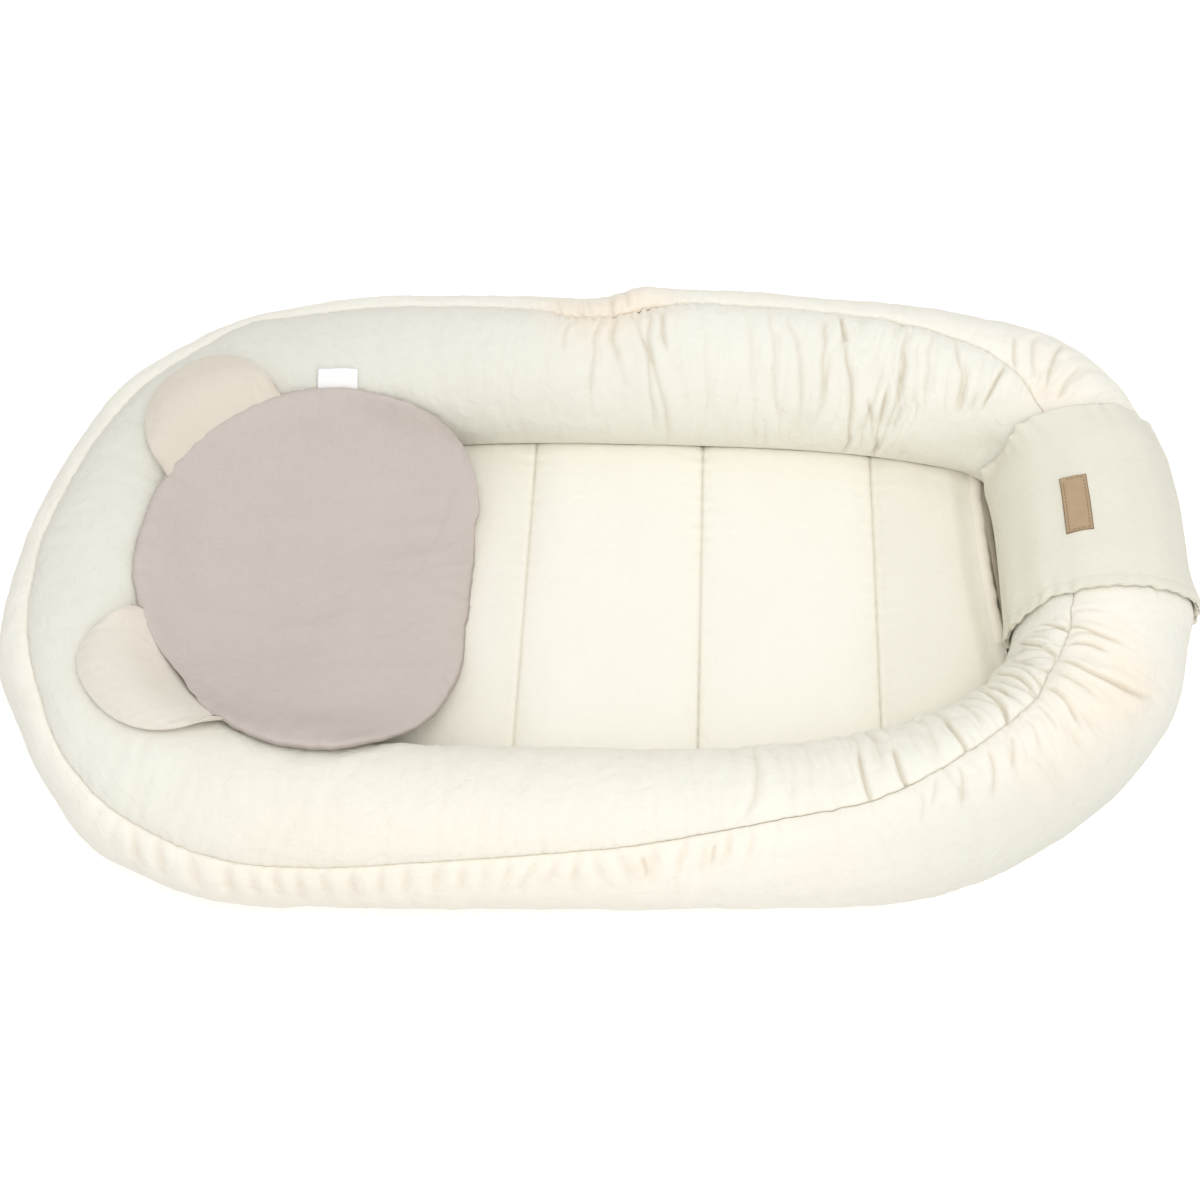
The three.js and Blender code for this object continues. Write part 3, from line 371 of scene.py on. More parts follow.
# Where a panel is gathered: way, angle, spread along the way, spread of the angle, depth
gathers = {
    "inner": [(270, 165, 42, 40, 6.0), (312, 120, 50, 50, 4.4), (232, 165, 26, 34, 4.4), (385, 140, 50, 70, 2.2),
              (515, 100, 36, 30, 2.6), (1690, 140, 60, 50, 1.8), (1800, 150, 75, 44, 3.8),
              (1890, 150, 50, 44, 5.6), (1965, 150, 54, 44, 6.6)],
    "outer": [(165, 84, 50, 30, 3.0), (540, 66, 34, 16, 3.4), (1800, 84, 60, 16, 2.4), (1880, 92, 50, 22, 2.8),
              (1950, 104, 44, 26, 3.0)],
}
# Where the stuffing swells the cloth: the same measures, with a height instead of the depth
bulges = {
    "inner": [(2006, 150, 20, 40, 2.0), (190, 120, 26, 30, 2.0), (240, 140, 40, 60, 1.0)],
    "outer": [(503, 58, 14, 16, 3.5), (528, 60, 12, 14, 1.5), (150, 60, 34, 40, 3.0), (1965, 30, 30, 40, 2.5)],
}
# Warm tint in soft spots: way, angle, size and strength
warmSpots = [
    (545, 76, 30, 0.9), (520, 70, 16, 0.9), (492, 68, 18, 0.6), (575, 62, 20, 0.5), (1560, 45, 60, 0.25),
    (1450, 42, 90, 0.3), (1330, 34, 80, 0.3), (1576, 50, 9, 0.8), (1905, 84, 34, 0.5), (1935, 70, 20, 0.6),
    (1960, 96, 26, 0.4), (172, 98, 24, 0.5), (1850, 70, 40, 0.3), (1700, 50, 60, 0.2), (1619, 57, 8, 0.5),
]
crease = {"share": 0.85, "drift": 1.6, "puff": 0.4, "puffAway": 3, "puffWidth": 2, "fullLine": 4.5, "lineWidth": 0.85}


# A crease is a narrow valley that fades at both ends, with the cloth puffed up on both sides.
# The valley is a bell of the crease's width, and each puff is a wider bell beside it.
def creaseInset(way, angle, side):
    shape = np.broadcast(way, angle).shape
    inset, line = np.zeros(shape), np.zeros(shape)
    wrapped = np.mod(way, wayRound) + 0 * angle
    drift = crease["drift"] * field(angle / 14 + 0 * way, wrapped / 50, fieldNets[5])
    for wayTop, angleTop, wayLow, angleLow, bend, depth, width in creases[side]:
        t = (angle - angleTop) / (angleLow - angleTop)
        inside = np.clip(t, 0, 1)
        middle = mix(wayTop, wayLow, inside) + bend * 4 * inside * (1 - inside)
        off = wrapped - middle + drift
        strength = smooth((t + 0.12) / 0.26) * smooth((1.15 - t) / 0.45)
        puff = bell(np.abs(off) - crease["puffAway"] * width, crease["puffWidth"] * width)
        inset += crease["share"] * depth * strength * (bell(off, width) - crease["puff"] * puff)
        # painted shade: a thin dark line down each crease, fuller for deeper ones
        drawn = min(depth / crease["fullLine"], 1) ** 1.2
        line = np.maximum(line, strength * drawn * bell(off, crease["lineWidth"]))
    return inset, line


# Sum of bells on the roll, from a table of such places
def bellsAt(way, angle, table):
    return sum(depth * bell(way - middleWay, reach) * bell(angle - middleAngle, spread)
               for middleWay, middleAngle, reach, spread, depth in table)


def warmAt(way, angle, radius):
    return np.clip(sum(strength * bell(np.hypot(way - spotWay, (angle - spotAngle) * toRadians * radius), size)
                       for spotWay, spotAngle, size, strength in warmSpots), 0, 1)


# Meshes


def outwardVolume(points, quads):
    a, b, c, d = (points[quads[:, k]] for k in range(4))
    return float((np.cross(a, b) * c).sum() + (np.cross(a, c) * d).sum())


def linkedObject(name, data):
    made = bpy.data.objects.new(name, data)
    bpy.context.scene.collection.objects.link(made)
    return made


def newPiece(name, points, quads, polygons=(), uv=None, marks=None):
    points = np.asarray(points, float).reshape(-1, 3)
    middle = points - points.mean(0)
    if outwardVolume(middle, quads) < 0:
        quads = quads[:, ::-1]
        polygons = [p[::-1] for p in polygons]
    corners = np.concatenate([quads.ravel()] + [np.asarray(p) for p in polygons]).astype(np.int32)
    totals = np.concatenate([np.full(len(quads), 4), [len(p) for p in polygons]]).astype(np.int32)
    mesh = bpy.data.meshes.new(name)
    mesh.vertices.add(len(points))
    mesh.vertices.foreach_set("co", ((points + shift) * metre).astype(np.float32).ravel())
    mesh.loops.add(len(corners))
    mesh.loops.foreach_set("vertex_index", corners)
    mesh.polygons.add(len(totals))
    mesh.polygons.foreach_set("loop_start", np.concatenate([[0], np.cumsum(totals)[:-1]]).astype(np.int32))
    mesh.polygons.foreach_set("use_smooth", np.ones(len(totals), bool))
    mesh.update(calc_edges=True)
    if uv is not None:
        layer = mesh.uv_layers.new(name="cloth")
        layer.data.foreach_set("uv", (np.asarray(uv).reshape(-1, 2)[corners] * metre).astype(np.float32).ravel())
    for mark, values in (marks or {}).items():
        attribute = mesh.attributes.new(mark, "FLOAT", "POINT")
        attribute.data.foreach_set("value", np.asarray(values, np.float32).ravel())
    mesh.validate()
    return linkedObject(name, mesh)


# Closed loops of points, one behind the other, as a skin with both ends filled
def sweptQuads(rows, count):
    i, j = np.meshgrid(np.arange(rows - 1) * count, np.arange(count), indexing="ij")
    beside = (j + 1) % count
    return np.stack([i + j, i + count + j, i + count + beside, i + beside], -1).reshape(-1, 4)


def sweptPiece(name, loops, uv=None, marks=None):
    rows, count = loops.shape[:2]
    corners = np.arange(rows * count)
    full = {mark: np.broadcast_to(values, (rows, count)) for mark, values in (marks or {}).items()}
    return newPiece(name, loops, sweptQuads(rows, count), [corners[:count], corners[:-count - 1:-1]], uv, full)


# Two skins of equal rows, the upper fine and the lower coarse, as one closed thin sheet
def shellPiece(name, upper, lower, uvUpper=None, marks=None):
    uv = None
    if uvUpper is not None:
        uv = np.concatenate([uvUpper, uvUpper[:, spaced(upper.shape[1], lower.shape[1])][:, ::-1]], 1)
    full = {mark: np.concatenate([np.broadcast_to(values, upper.shape[:2]), np.zeros(lower.shape[:2])], 1)
            for mark, values in (marks or {}).items()}
    return sweptPiece(name, np.concatenate([upper, lower[:, ::-1]], 1), uv, full)


def pointNormals(grid):
    normal = np.cross(np.gradient(grid, axis=0), np.gradient(grid, axis=1))
    return normal / np.maximum(np.linalg.norm(normal, axis=-1, keepdims=True), 1e-9)


# Stitches: short rounded threads from a to b, each standing a little proud of the cloth
def stitchPiece(name, starts, ends, ups, radius):
    starts, ends, ups = (np.asarray(v, float) for v in (starts, ends, ups))
    along = ends - starts
    length = np.linalg.norm(along, axis=-1, keepdims=True)
    along = along / length
    side = np.cross(ups, along)
    side /= np.linalg.norm(side, axis=-1, keepdims=True)
    up = np.cross(along, side)
    reachShares = np.array([-0.5, -0.44, -0.25, 0, 0.25, 0.44, 0.5])
    widthShares = np.array([0.25, 0.8, 1, 1, 1, 0.8, 0.25])
    liftShares = np.array([-0.9, -0.4, 0.1, 0.3, 0.1, -0.4, -0.9])
    turns = np.arange(6) * np.pi / 3
    ring = np.stack([np.cos(turns), np.sin(turns)], -1)
    middle = (starts + ends) / 2
    line = middle[:, None] + along[:, None] * (reachShares[None, :, None] * length[:, None])
    line = line + up[:, None] * (liftShares * radius)[None, :, None]
    width = (widthShares * radius)[None, :, None, None]
    loops = line[:, :, None] + width * (side[:, None, None] * ring[:, :1] + up[:, None, None] * ring[:, 1:])
    n, rows, count = loops.shape[:3]
    firsts = np.arange(n) * rows * count
    quads = (sweptQuads(rows, count)[None] + firsts[:, None, None]).reshape(-1, 4)
    caps = [first + np.arange(count) for first in firsts]
    tips = [first + (rows - 1) * count + np.arange(count)[::-1] for first in firsts]
    return newPiece(name, loops, quads, caps + tips)


# Materials


# Each input of a node is linked if a socket is given, and is set otherwise
def setInputs(tree, node, inputs):
    for name, value in inputs.items():
        if isinstance(value, bpy.types.NodeSocket):
            tree.links.new(value, node.inputs[name])
        else:
            node.inputs[name].default_value = value


def addNode(tree, kind, inputs, output=0, **settings):
    node = tree.nodes.new("ShaderNode" + kind)
    for name, value in settings.items():
        setattr(node, name, value)
    setInputs(tree, node, inputs)
    return node.outputs[output]


def newMaterial(name, inputs):
    material = bpy.data.materials.new(name)
    material.use_nodes = True
    shader = material.node_tree.nodes["Principled BSDF"]
    setInputs(material.node_tree, shader, inputs)
    return material, material.node_tree, shader


def mixedColor(tree, factor, a, b):
    return addNode(tree, "Mix", {"Factor": factor, 6: a, 7: b}, 2, data_type="RGBA")


weave = {"wanderScale": 120, "wander": 0.0012, "blotchScale": 14}


# Plain weave and crinkle of muslin. Warp and weft are rounded ridges one pitch apart, and a
# checker of the two says which of them is on top.
def makeWeaveGroup():
    tree = bpy.data.node_groups.new("muslinCloth", "ShaderNodeTree")
    for direction, kind, names in (("INPUT", "Vector", ["Place"]), ("INPUT", "Float", ["Threads", "Crinkle"]),
                                   ("OUTPUT", "Float", ["Weave", "Wrinkles", "Tone"])):
        for name in names:
            tree.interface.new_socket(name=name, in_out=direction, socket_type="NodeSocket" + kind)
    start = tree.nodes.new("NodeGroupInput").outputs
    end = tree.nodes.new("NodeGroupOutput")
    place = start["Place"]

    def result(operation, *values):
        return addNode(tree, "Math", dict(enumerate(values)), operation=operation)

    wander = addNode(tree, "TexNoise", {"Vector": place, "Scale": weave["wanderScale"]}, "Color")
    reach = (weave["wander"], weave["wander"], 0)
    nudged = addNode(tree, "VectorMath", {0: wander, 1: reach, 2: place}, operation="MULTIPLY_ADD")
    turn = result("MULTIPLY", start["Threads"], math.pi)
    warp, weft = (result("SINE", result("MULTIPLY", addNode(tree, "SeparateXYZ", {0: nudged}, k), turn))
                  for k in (0, 1))
    over = result("GREATER_THAN", result("MULTIPLY", warp, weft), 0.0)
    top = result("MULTIPLY", result("ABSOLUTE", warp), over)
    under = result("MULTIPLY", result("ABSOLUTE", weft), result("SUBTRACT", 1.0, over))
    crinkle = {"Vector": place, "Scale": start["Crinkle"], "Detail": 3, "Distortion": 0.6}
    setInputs(tree, end, {
        "Weave": result("ADD", top, under),
        "Wrinkles": addNode(tree, "TexNoise", crinkle, "Fac"),
        "Tone": addNode(tree, "TexNoise", {"Vector": place, "Scale": weave["blotchScale"], "Detail": 2}, "Fac"),
    })
    return tree


weaveGroup = makeWeaveGroup()


def linear(rgb):
    share = np.asarray(rgb, float) / 255
    return tuple(np.where(share <= 0.04045, share / 12.92, ((share + 0.055) / 1.055) ** 2.4)) + (1.0,)


# Tint of each mark, and the share of it where the mark is 1. The dulling mark is painted shade, the warm mark is
# partly painted warm shade, and valleys, painted shade, have the colour of the lines.
tints = {"paintedShade": (228, 226, 215), "warm": (249, 233, 211), "line": (205, 193, 172)}
tintShares = {"paintedShade": 0.8, "warm": 0.6, "valley": 0.24, "line": 0.62}


# Cloth of two close tones, in sRGB from 0 to 255. The marks of a mesh tint it: cooler and duller with painted shade,
# warmer, and darker with painted shade in valleys and along creases, and along dark seam lines.
def clothMaterial(name, color, shade, line=tints["line"], threads=1000.0, crinkle=90.0, weaveDepth=0.00012,
                  wrinkleDepth=0.0011, roughness=0.92, sheen=0.12, byUv=True):
    material, tree, shader = newMaterial(name, {
        "Roughness": roughness, "Specular IOR Level": 0.2, "Sheen Weight": sheen, "Sheen Roughness": 0.6,
    })
    if byUv:
        place = addNode(tree, "UVMap", {}, "UV", uv_map="cloth")
    else:
        place = addNode(tree, "TexCoord", {}, "Object")
    group = tree.nodes.new("ShaderNodeGroup")
    group.node_tree = weaveGroup
    setInputs(tree, group, {"Place": place, "Threads": threads, "Crinkle": crinkle})
    tone = mixedColor(tree, group.outputs["Tone"], linear(color), linear(shade))
    for mark, share in tintShares.items():
        amount = addNode(tree, "Attribute", {}, "Fac", attribute_name=mark)
        amount = addNode(tree, "Math", {0: amount, 1: share}, operation="MULTIPLY", use_clamp=True)
        tone = mixedColor(tree, amount, tone, linear(tints[mark] if mark in ("paintedShade", "warm") else line))
    fine = addNode(tree, "Bump", {"Distance": weaveDepth, "Height": group.outputs["Weave"]})
    wide = {"Distance": wrinkleDepth, "Height": group.outputs["Wrinkles"], "Normal": fine}
    setInputs(tree, shader, {"Base Color": tone, "Normal": addNode(tree, "Bump", wide)})
    return material


# Tan leather: a fine pebbled grain and a darker pressed rim, which the "line" mark gives
def leatherMaterial():
    material, tree, shader = newMaterial("tanLeather", {"Roughness": 0.62, "Specular IOR Level": 0.3})
    place = addNode(tree, "UVMap", {}, "UV", uv_map="cloth")
    patches = addNode(tree, "TexNoise", {"Vector": place, "Scale": 120, "Detail": 4}, "Fac")
    tone = mixedColor(tree, patches, linear((186, 162, 131)), linear((168, 144, 114)))
    rim = addNode(tree, "Attribute", {}, "Fac", attribute_name="line")
    cells = addNode(tree, "TexVoronoi", {"Vector": place, "Scale": 900}, "Distance")
    setInputs(tree, shader, {
        "Base Color": mixedColor(tree, rim, tone, linear((112, 90, 66))),
        "Normal": addNode(tree, "Bump", {"Distance": 0.00015, "Height": cells}),
    })
    return material


# Two tones of each cloth, and what else sets it apart
cloths = {
    "outerMuslin": ((252, 249, 238), (248, 244, 232), {"wrinkleDepth": 0.0016}),
    "innerMuslin": ((248, 246, 235), (243, 240, 228), {"wrinkleDepth": 0.0016}),
    "floorMuslin": ((253, 250, 239), (249, 245, 233), {"wrinkleDepth": 0.0012, "line": (196, 189, 169)}),
    "cuffMuslin": ((234, 232, 217), (230, 227, 212), {"wrinkleDepth": 0.0009}),
    "bindingCloth": ((253, 247, 234), (249, 242, 228), {"wrinkleDepth": 0.0006}),
    "liningCloth": ((240, 235, 222), (236, 230, 216), {"wrinkleDepth": 0.0005}),
    "waddingFibre": ((250, 250, 246), (244, 244, 240), {"crinkle": 300.0, "weaveDepth": 0.0}),
    "greigeMuslin": ((206, 196, 188), (200, 190, 183), {"wrinkleDepth": 0.0014, "line": (150, 138, 128)}),
    "earMuslin": ((234, 228, 216), (228, 221, 209), {"wrinkleDepth": 0.0012}),
    "fasteningTape": ((232, 228, 216), (224, 220, 208), {"threads": 700.0, "crinkle": 900.0}),
    "seamThread": ((234, 227, 212), (226, 218, 202), {"byUv": False}),
    "leatherThread": ((150, 126, 98), (140, 116, 90), {"byUv": False}),
    "whiteSatin": ((248, 248, 247), (240, 240, 240), {
        "threads": 2400.0, "weaveDepth": 0.00003, "wrinkleDepth": 0.0002, "roughness": 0.38, "sheen": 0.0,
    }),
}
materials = {name: clothMaterial(name, color, shade, **more) for name, (color, shade, more) in cloths.items()}
materials["tanLeather"] = leatherMaterial()


def dress(piece, material, slot, body, *nodes):
    piece.data.materials.append(materials[material])
    if nodes:
        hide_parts(*nodes)
    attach(piece, body)


# The bumper

print("bumper")
teeth = {"height": 0.36, "extra": 1.1, "extraWay": 530, "extraReach": 46, "fade": 7}
puckerRow = {"depth": 2.6, "away": 15, "width": 14, "pitch": 17, "wander": 7, "fromWay": 1190, "toWay": 1680}
# where painted shade dulls the panels, and how far the painted warm shade in valleys reaches
tone = {"headWay": 860, "headReach": 320, "headPaintedShade": 1.15, "bendWay": -170, "bendReach": 150, "lowPaintedShade": 0.25,
        "warmToWay": 1720}


# Stations along the roll, twice as close in its foot half, where the cloth is gathered
def stationWays():
    even = np.linspace(joinWay + bumper["endGap"] / 2, joinWay + wayRound - bumper["endGap"] / 2, 4001)
    inHead = between(np.mod(even, wayRound), 600, 1600)
    crowd = np.concatenate([[0], np.cumsum(1 - 0.5 * inHead[1:])])
    return np.interp(np.linspace(0, crowd[-1], bumper["stations"]), crowd, even)


rollWays = stationWays()


# How far a panel lies inside the roll's outermost cloth: folds, teeth beside the seam, lumps of
# stuffing, the seam's groove and the cuff's squeeze
def panelInset(roll, way, angle, side):
    wrapped = np.mod(way, wayRound)
    seam = seamAngleAt(way)
    arc = np.abs(angle - seam) * toRadians * roll["radius"]
    round_ = angle * toRadians * roll["radius"]
    fine, line = creaseInset(way, angle, side)
    free = 1 - smooth(cuffHeld(roll, angle)[0] * 1.3)
    # under the bumper's inner edge the folds run out
    loose = free * (1 - smooth((angle - bumper["foldsEndAngle"]) / bumper["foldsEndFade"]))
    toothed = teeth["height"] + teeth["extra"] * bell(wrapped - teeth["extraWay"], teeth["extraReach"])
    fine = fine + (0.9 + bellsAt(wrapped, angle, gathers[side])) * gathered(wrapped + 0 * angle, round_)
    fine = fine + toothed * ripples(way, angle * toRadians, 6, 12, 1.0, 7) * np.exp(-arc / teeth["fade"])
    fine = fine + 0.16 * crumpled(way + 700, round_ + 40, 9)
    if side == "outer":
        row = bell(arc - puckerRow["away"], puckerRow["width"])
        row = row * between(wrapped, puckerRow["fromWay"], puckerRow["toWay"])
        turn = (way + puckerRow["wander"] * field(way / 50, arc / 30, fieldNets[2])) / puckerRow["pitch"]
        fine = fine + puckerRow["depth"] * row * (0.5 + 0.5 * np.cos(2 * np.pi * turn)) ** 1.5
    fine = fine * loose
    lumps = 1.0 * crumpled(way, round_, 70) + 0.5 * crumpled(way + 300, round_ + 90, 24)
    lumps = lumps - bellsAt(wrapped, angle, bulges[side]) - swellAt(roll, wrapped, angle)
    valley = bumper["seamValley"] * bell(angle - seam, bumper["seamHalfWidthAngle"])
    valley = valley + bumper["seamCrease"] * np.exp(-arc / bumper["seamCreaseWidth"])
    inset = fine + lumps * loose + valley * (0.35 + 0.65 * free) + cuffSqueeze(roll, angle)
    # the line mark: painted shade along the creases, and the long seam's dark line
    return inset, np.clip(np.maximum(line * free, 0.42 * bell(arc, 1.0)), 0, 1), fine


# How far each point lies below the mean of its neighbours along the way, from 0 to 1
def valleyShare(fine, reach=12, full=2.4):
    padded = np.pad(fine, ((reach, reach), (0, 0)), mode="edge")
    total = np.cumsum(np.vstack([np.zeros((1, fine.shape[1])), padded]), axis=0)
    mean = (total[2 * reach + 1:] - total[:-2 * reach - 1]) / (2 * reach + 1)
    return np.clip((fine - mean) / full, 0, 1)


# How far the stuffing fills the roll's outside beyond its round section, by share of the way
swellShares = [0.0, 0.06, 0.083, 0.1, 0.117, 0.15, 0.183, 0.2, 0.217, 0.25, 0.258, 0.266, 0.3, 0.333, 0.35, 0.383,
               0.4, 0.417, 0.433, 0.45, 0.467, 0.483, 0.5, 0.517, 0.533, 0.55, 0.567, 0.583, 0.6, 0.617, 0.633,
               0.65, 0.667, 0.683, 0.7, 0.75, 0.833, 0.85, 0.883, 0.9, 0.917, 0.93, 1.0]
swellHeights = [0, 0, 4.5, 6.5, 3.5, 3.5, 4, 6, 7.5, 7.5, 5, 0, 0.4, 2.5, 5, 6,
                8, 7, 4.5, 3.2, -1.5, -1, 3.5, 5.5, 7, 5.5, -5.5, -5, 5, 6.5, 9,
                8, 2.5, 1.4, 0.4, -1, 0, 4, 7, 5.2, 1.5, 0, 0]
swell = {"middle": 14, "middleOut": 24, "middleFoot": 12, "spread": 45, "spreadOut": -11, "spreadFoot": 14,
         "lowAngle": -72, "lowFade": 30}


# Widest where the outline is seen, and fading before the floor and over the top
def swellAt(roll, way, angle):
    atFoot = smooth((600 - way) / 60)
    middle = swell["middle"] + swell["middleOut"] * roll["outY"] + swell["middleFoot"] * atFoot
    above = swell["spread"] + swell["spreadOut"] * roll["outY"] + swell["spreadFoot"] * atFoot
    height = curveThrough(swellShares, swellHeights, way / wayRound)
    shape = bell(angle - middle, np.where(angle > middle, above, swell["spread"]))
    return height * shape * smooth((angle - swell["lowAngle"]) / swell["lowFade"])


def panelPiece(name, side, outerEdge):
    way = rollWays[:, None]
    wrapped = np.mod(way, wayRound)
    roll = rollAt(way)
    seam = seamAngleAt(way)
    shares = np.linspace(0, 1, bumper["columns"])[None] ** 1.35    # closer together beside the long seam
    angle = mix(seam + bumper["seamGapAngle"] * (1 if side == "inner" else -1), outerEdge, shares)
    inset, line, fine = panelInset(roll, way, angle, side)
    pick = spaced(bumper["columns"], bumper["liningColumns"])
    upper = surfacePoint(roll, angle, inset)
    lower = surfacePoint(roll, angle[:, pick], inset[:, pick] + cloth["sheet"] + np.array([3.0, 2, 2, 2, 0]))
    uv = stacked(way, np.abs(angle - seam) * toRadians * roll["radius"])
    # warm spots, and painted shade in valleys, where the cloth lies below its neighbours
    warm, sunk = warmAt(wrapped, angle, roll["radius"]), valleyShare(fine)
    # painted shade: duller cloth round the head, on the outside of the foot's near bend and low on the outer panel
    if side == "inner":
        paintedShade = tone["headPaintedShade"] * bell(wrapped - tone["headWay"], tone["headReach"])
    else:
        bend = bell(np.mod(way + 500, wayRound) - 500 - tone["bendWay"], tone["bendReach"])
        paintedShade = np.maximum(tone["lowPaintedShade"] * smooth((40 - angle) / 50), bend * smooth((100 - angle) / 50))
        # painted warm shade: warmer in the valleys of the puckered row
        warm = np.maximum(warm, sunk * between(wrapped, puckerRow["fromWay"], tone["warmToWay"]))
    return shellPiece(name, upper, lower, uv, {"line": line, "warm": warm, "paintedShade": paintedShade, "valley": sunk})


innerPanel = panelPiece("bumperInnerPanel", "inner", bumper["mattressEdgeAngle"])
dress(innerPanel, "innerMuslin", "inner_muslin", "nest", "bumper_inner_panel")
outerPanel = panelPiece("bumperOuterPanel", "outer", bumper["lowerEdgeAngle"])
dress(outerPanel, "outerMuslin", "outer_muslin", "nest", "bumper_outer_panel")


# Filling of the bumper: the same roll, well inside its panels
def stuffingLoops(ways, inset):
    roll = rollAt(ways[:, None])
    angle = np.arange(-90, 270, 12.0)[None]
    return surfacePoint(roll, angle, cuffSqueeze(roll, angle) + inset)


fillEnd = bumper["endGap"] / 2 + cloth["sheet"] + cloth["gap"] + 1
fillWays = np.linspace(joinWay + fillEnd, joinWay + wayRound - fillEnd, 260)
stuffing = sweptPiece("bumperStuffing", stuffingLoops(fillWays, bumper["stuffingEase"]))
dress(stuffing, "waddingFibre", "wadding", "nest", "bumper_stuffing")
for side, direction, node in (("Far", 1, "bumper_end_cap_far"), ("Near", -1, "bumper_end_cap_near")):
    edge = joinWay + direction * bumper["endGap"] / 2
    cap = sweptPiece("bumperEndCap" + side, stuffingLoops(np.array([edge, edge + direction * cloth["sheet"]]), 3.0))
    dress(cap, "liningCloth", "lining_cloth", "nest", node)

# The quilted floor

print("floor")
# the groove of a cross seam, and the puckers beside seams and edges, as height and fade
quilting = {"groove": 2.0, "grooveWidth": 2.6, "seamPucker": 0.5, "seamFade": 12, "edgePucker": 0.45, "edgeFade": 16,
            "stitchPitch": 3.4, "stitchLength": 2.5, "threadRadius": 0.32}

nearFrames = rollAt(np.linspace(0, wayRound, 521)[:-1])
nearFrames["radius"] = nearFrames["radius"] - pinchAt(nearFrames["way"], pinch["floorAngle"])


# Distance of each place from the roll's middle line, and the roll's measures there: the nearest
# of many stations, then the distance to its tangent
def nearestRoll(x, y):
    flatX, flatY = np.ravel(x), np.ravel(y)
    best = np.zeros(len(flatX), int)
    for part in np.array_split(np.arange(len(flatX)), max(len(flatX) // 8000, 1)):
        away = (flatX[part, None] - nearFrames["x"]) ** 2 + (flatY[part, None] - nearFrames["y"]) ** 2
        best[part] = away.argmin(1)
    dx, dy = flatX - nearFrames["x"][best], flatY - nearFrames["y"][best]
    distance = np.abs(dx * nearFrames["outX"][best] + dy * nearFrames["outY"][best])
    measures = (distance, nearFrames["radius"][best], nearFrames["height"][best])
    return tuple(measure.reshape(np.shape(x)) for measure in measures)


def floorEdgeDistance(radius, height):
    drop = height - floorPad["seamTop"] - floorPad["edgeTuck"]
    return np.sqrt(radius ** 2 - drop ** 2) + cloth["gap"]


# Foot edge: straight at the far side, and drawn towards the foot at the near side
def footEdgeX(y):
    share = np.clip((cuff["far"] - y) / (cuff["far"] - cuff["near"]), 0, 1.25)
    return mix(floorPad["footFar"], floorPad["footNear"], share ** floorPad["footBend"])


# The floor's own cloth ends beside the binding
def clothEndX(y):
    return footEdgeX(y) - floorPad["flange"] - cloth["gap"]


headEdge = -half + bumper["radius"] + bumper["endSwell"]
floorSeams = [floorPad["firstSeam"] + k * floorPad["seamStep"] for k in (-1, 0, 1, 2)]


def channelEnds(k, y):
    low = np.full(np.shape(y), headEdge if k == 0 else floorSeams[k - 1])
    return low, (np.full(np.shape(y), floorSeams[k]) if k < len(floorSeams) else clothEndX(y))


# Height of the floor: a crowned channel between two seams, drawn down at the seams, at the
# bumper and towards the foot edge
def floorTop(x, y):
    distance, radius, height = nearestRoll(x, y)
    rise = smooth((distance - floorEdgeDistance(radius, height)) / floorPad["edgeFade"])
    result = np.zeros(np.shape(x))
    for k in range(len(floorSeams) + 1):
        low, high = channelEnds(k, y)
        across = np.clip(np.abs(2 * (x - low) / (high - low) - 1), 0, 1)
        crown = (1 - across ** floorPad["squareness"]) * mix(1 - floorPad["edgeDropShare"], 1, rise)
        crowned = floorPad["seamTop"] + (floorPad["top"] - floorPad["seamTop"]) * crown
        here = (x >= low) & ((x < high) | (k == len(floorSeams)))
        result = np.where(here, crowned, result)
    result = np.where(x < headEdge, floorPad["seamTop"], result)
    result = mix(floorPad["footTop"], result, smooth((clothEndX(y) - x) / floorPad["footFade"]))
    roomUnder = height - np.sqrt(np.clip(radius ** 2 - distance ** 2, 0, None)) - floorPad["tuckClear"]
    return np.where(distance < radius, np.minimum(result, roomUnder), result)


# Inner edge of the roll at the floor's height, as y for a given x, on the near and the far side
edgeWays = np.linspace(0, wayRound, 1400)
edgeRoll = rollAt(edgeWays)
edgeReach = floorEdgeDistance(edgeRoll["radius"], edgeRoll["height"]) - floorPad["tuckUnder"]
edgeX = edgeRoll["x"] - edgeReach * edgeRoll["outX"]
edgeY = edgeRoll["y"] - edgeReach * edgeRoll["outY"]


def floorEdgeY(x, far):
    side = (edgeWays < wayRound / 2) if far else (edgeWays >= wayRound / 2)
    order = np.argsort(edgeX[side])
    return np.interp(x, edgeX[side][order], edgeY[side][order])


# Places of the floor's cloth: columns from edge to edge of the roll, closer together at the seams
def floorGrid():
    ends = [headEdge + 1.5] + floorSeams + [None]
    rows = mix(np.linspace(0, 1, 132), crowded(132), 0.5)
    allX, allY = [], []
    for k in range(len(ends) - 1):
        for share in crowded(64 if k else 16, k == len(ends) - 2):
            def columnX(y):
                high = footEdgeX(y) - floorPad["binding"] if ends[k + 1] is None else ends[k + 1]
                return mix(ends[k], high, share)
            low, high = -120.0, 130.0
            for _ in range(5):
                low = float(floorEdgeY(columnX(low), False))
                high = float(floorEdgeY(columnX(high), True))
            y = mix(low, high, rows)
            allX.append(columnX(y) + 0 * y)
            allY.append(y)
    return np.array(allX), np.array(allY)


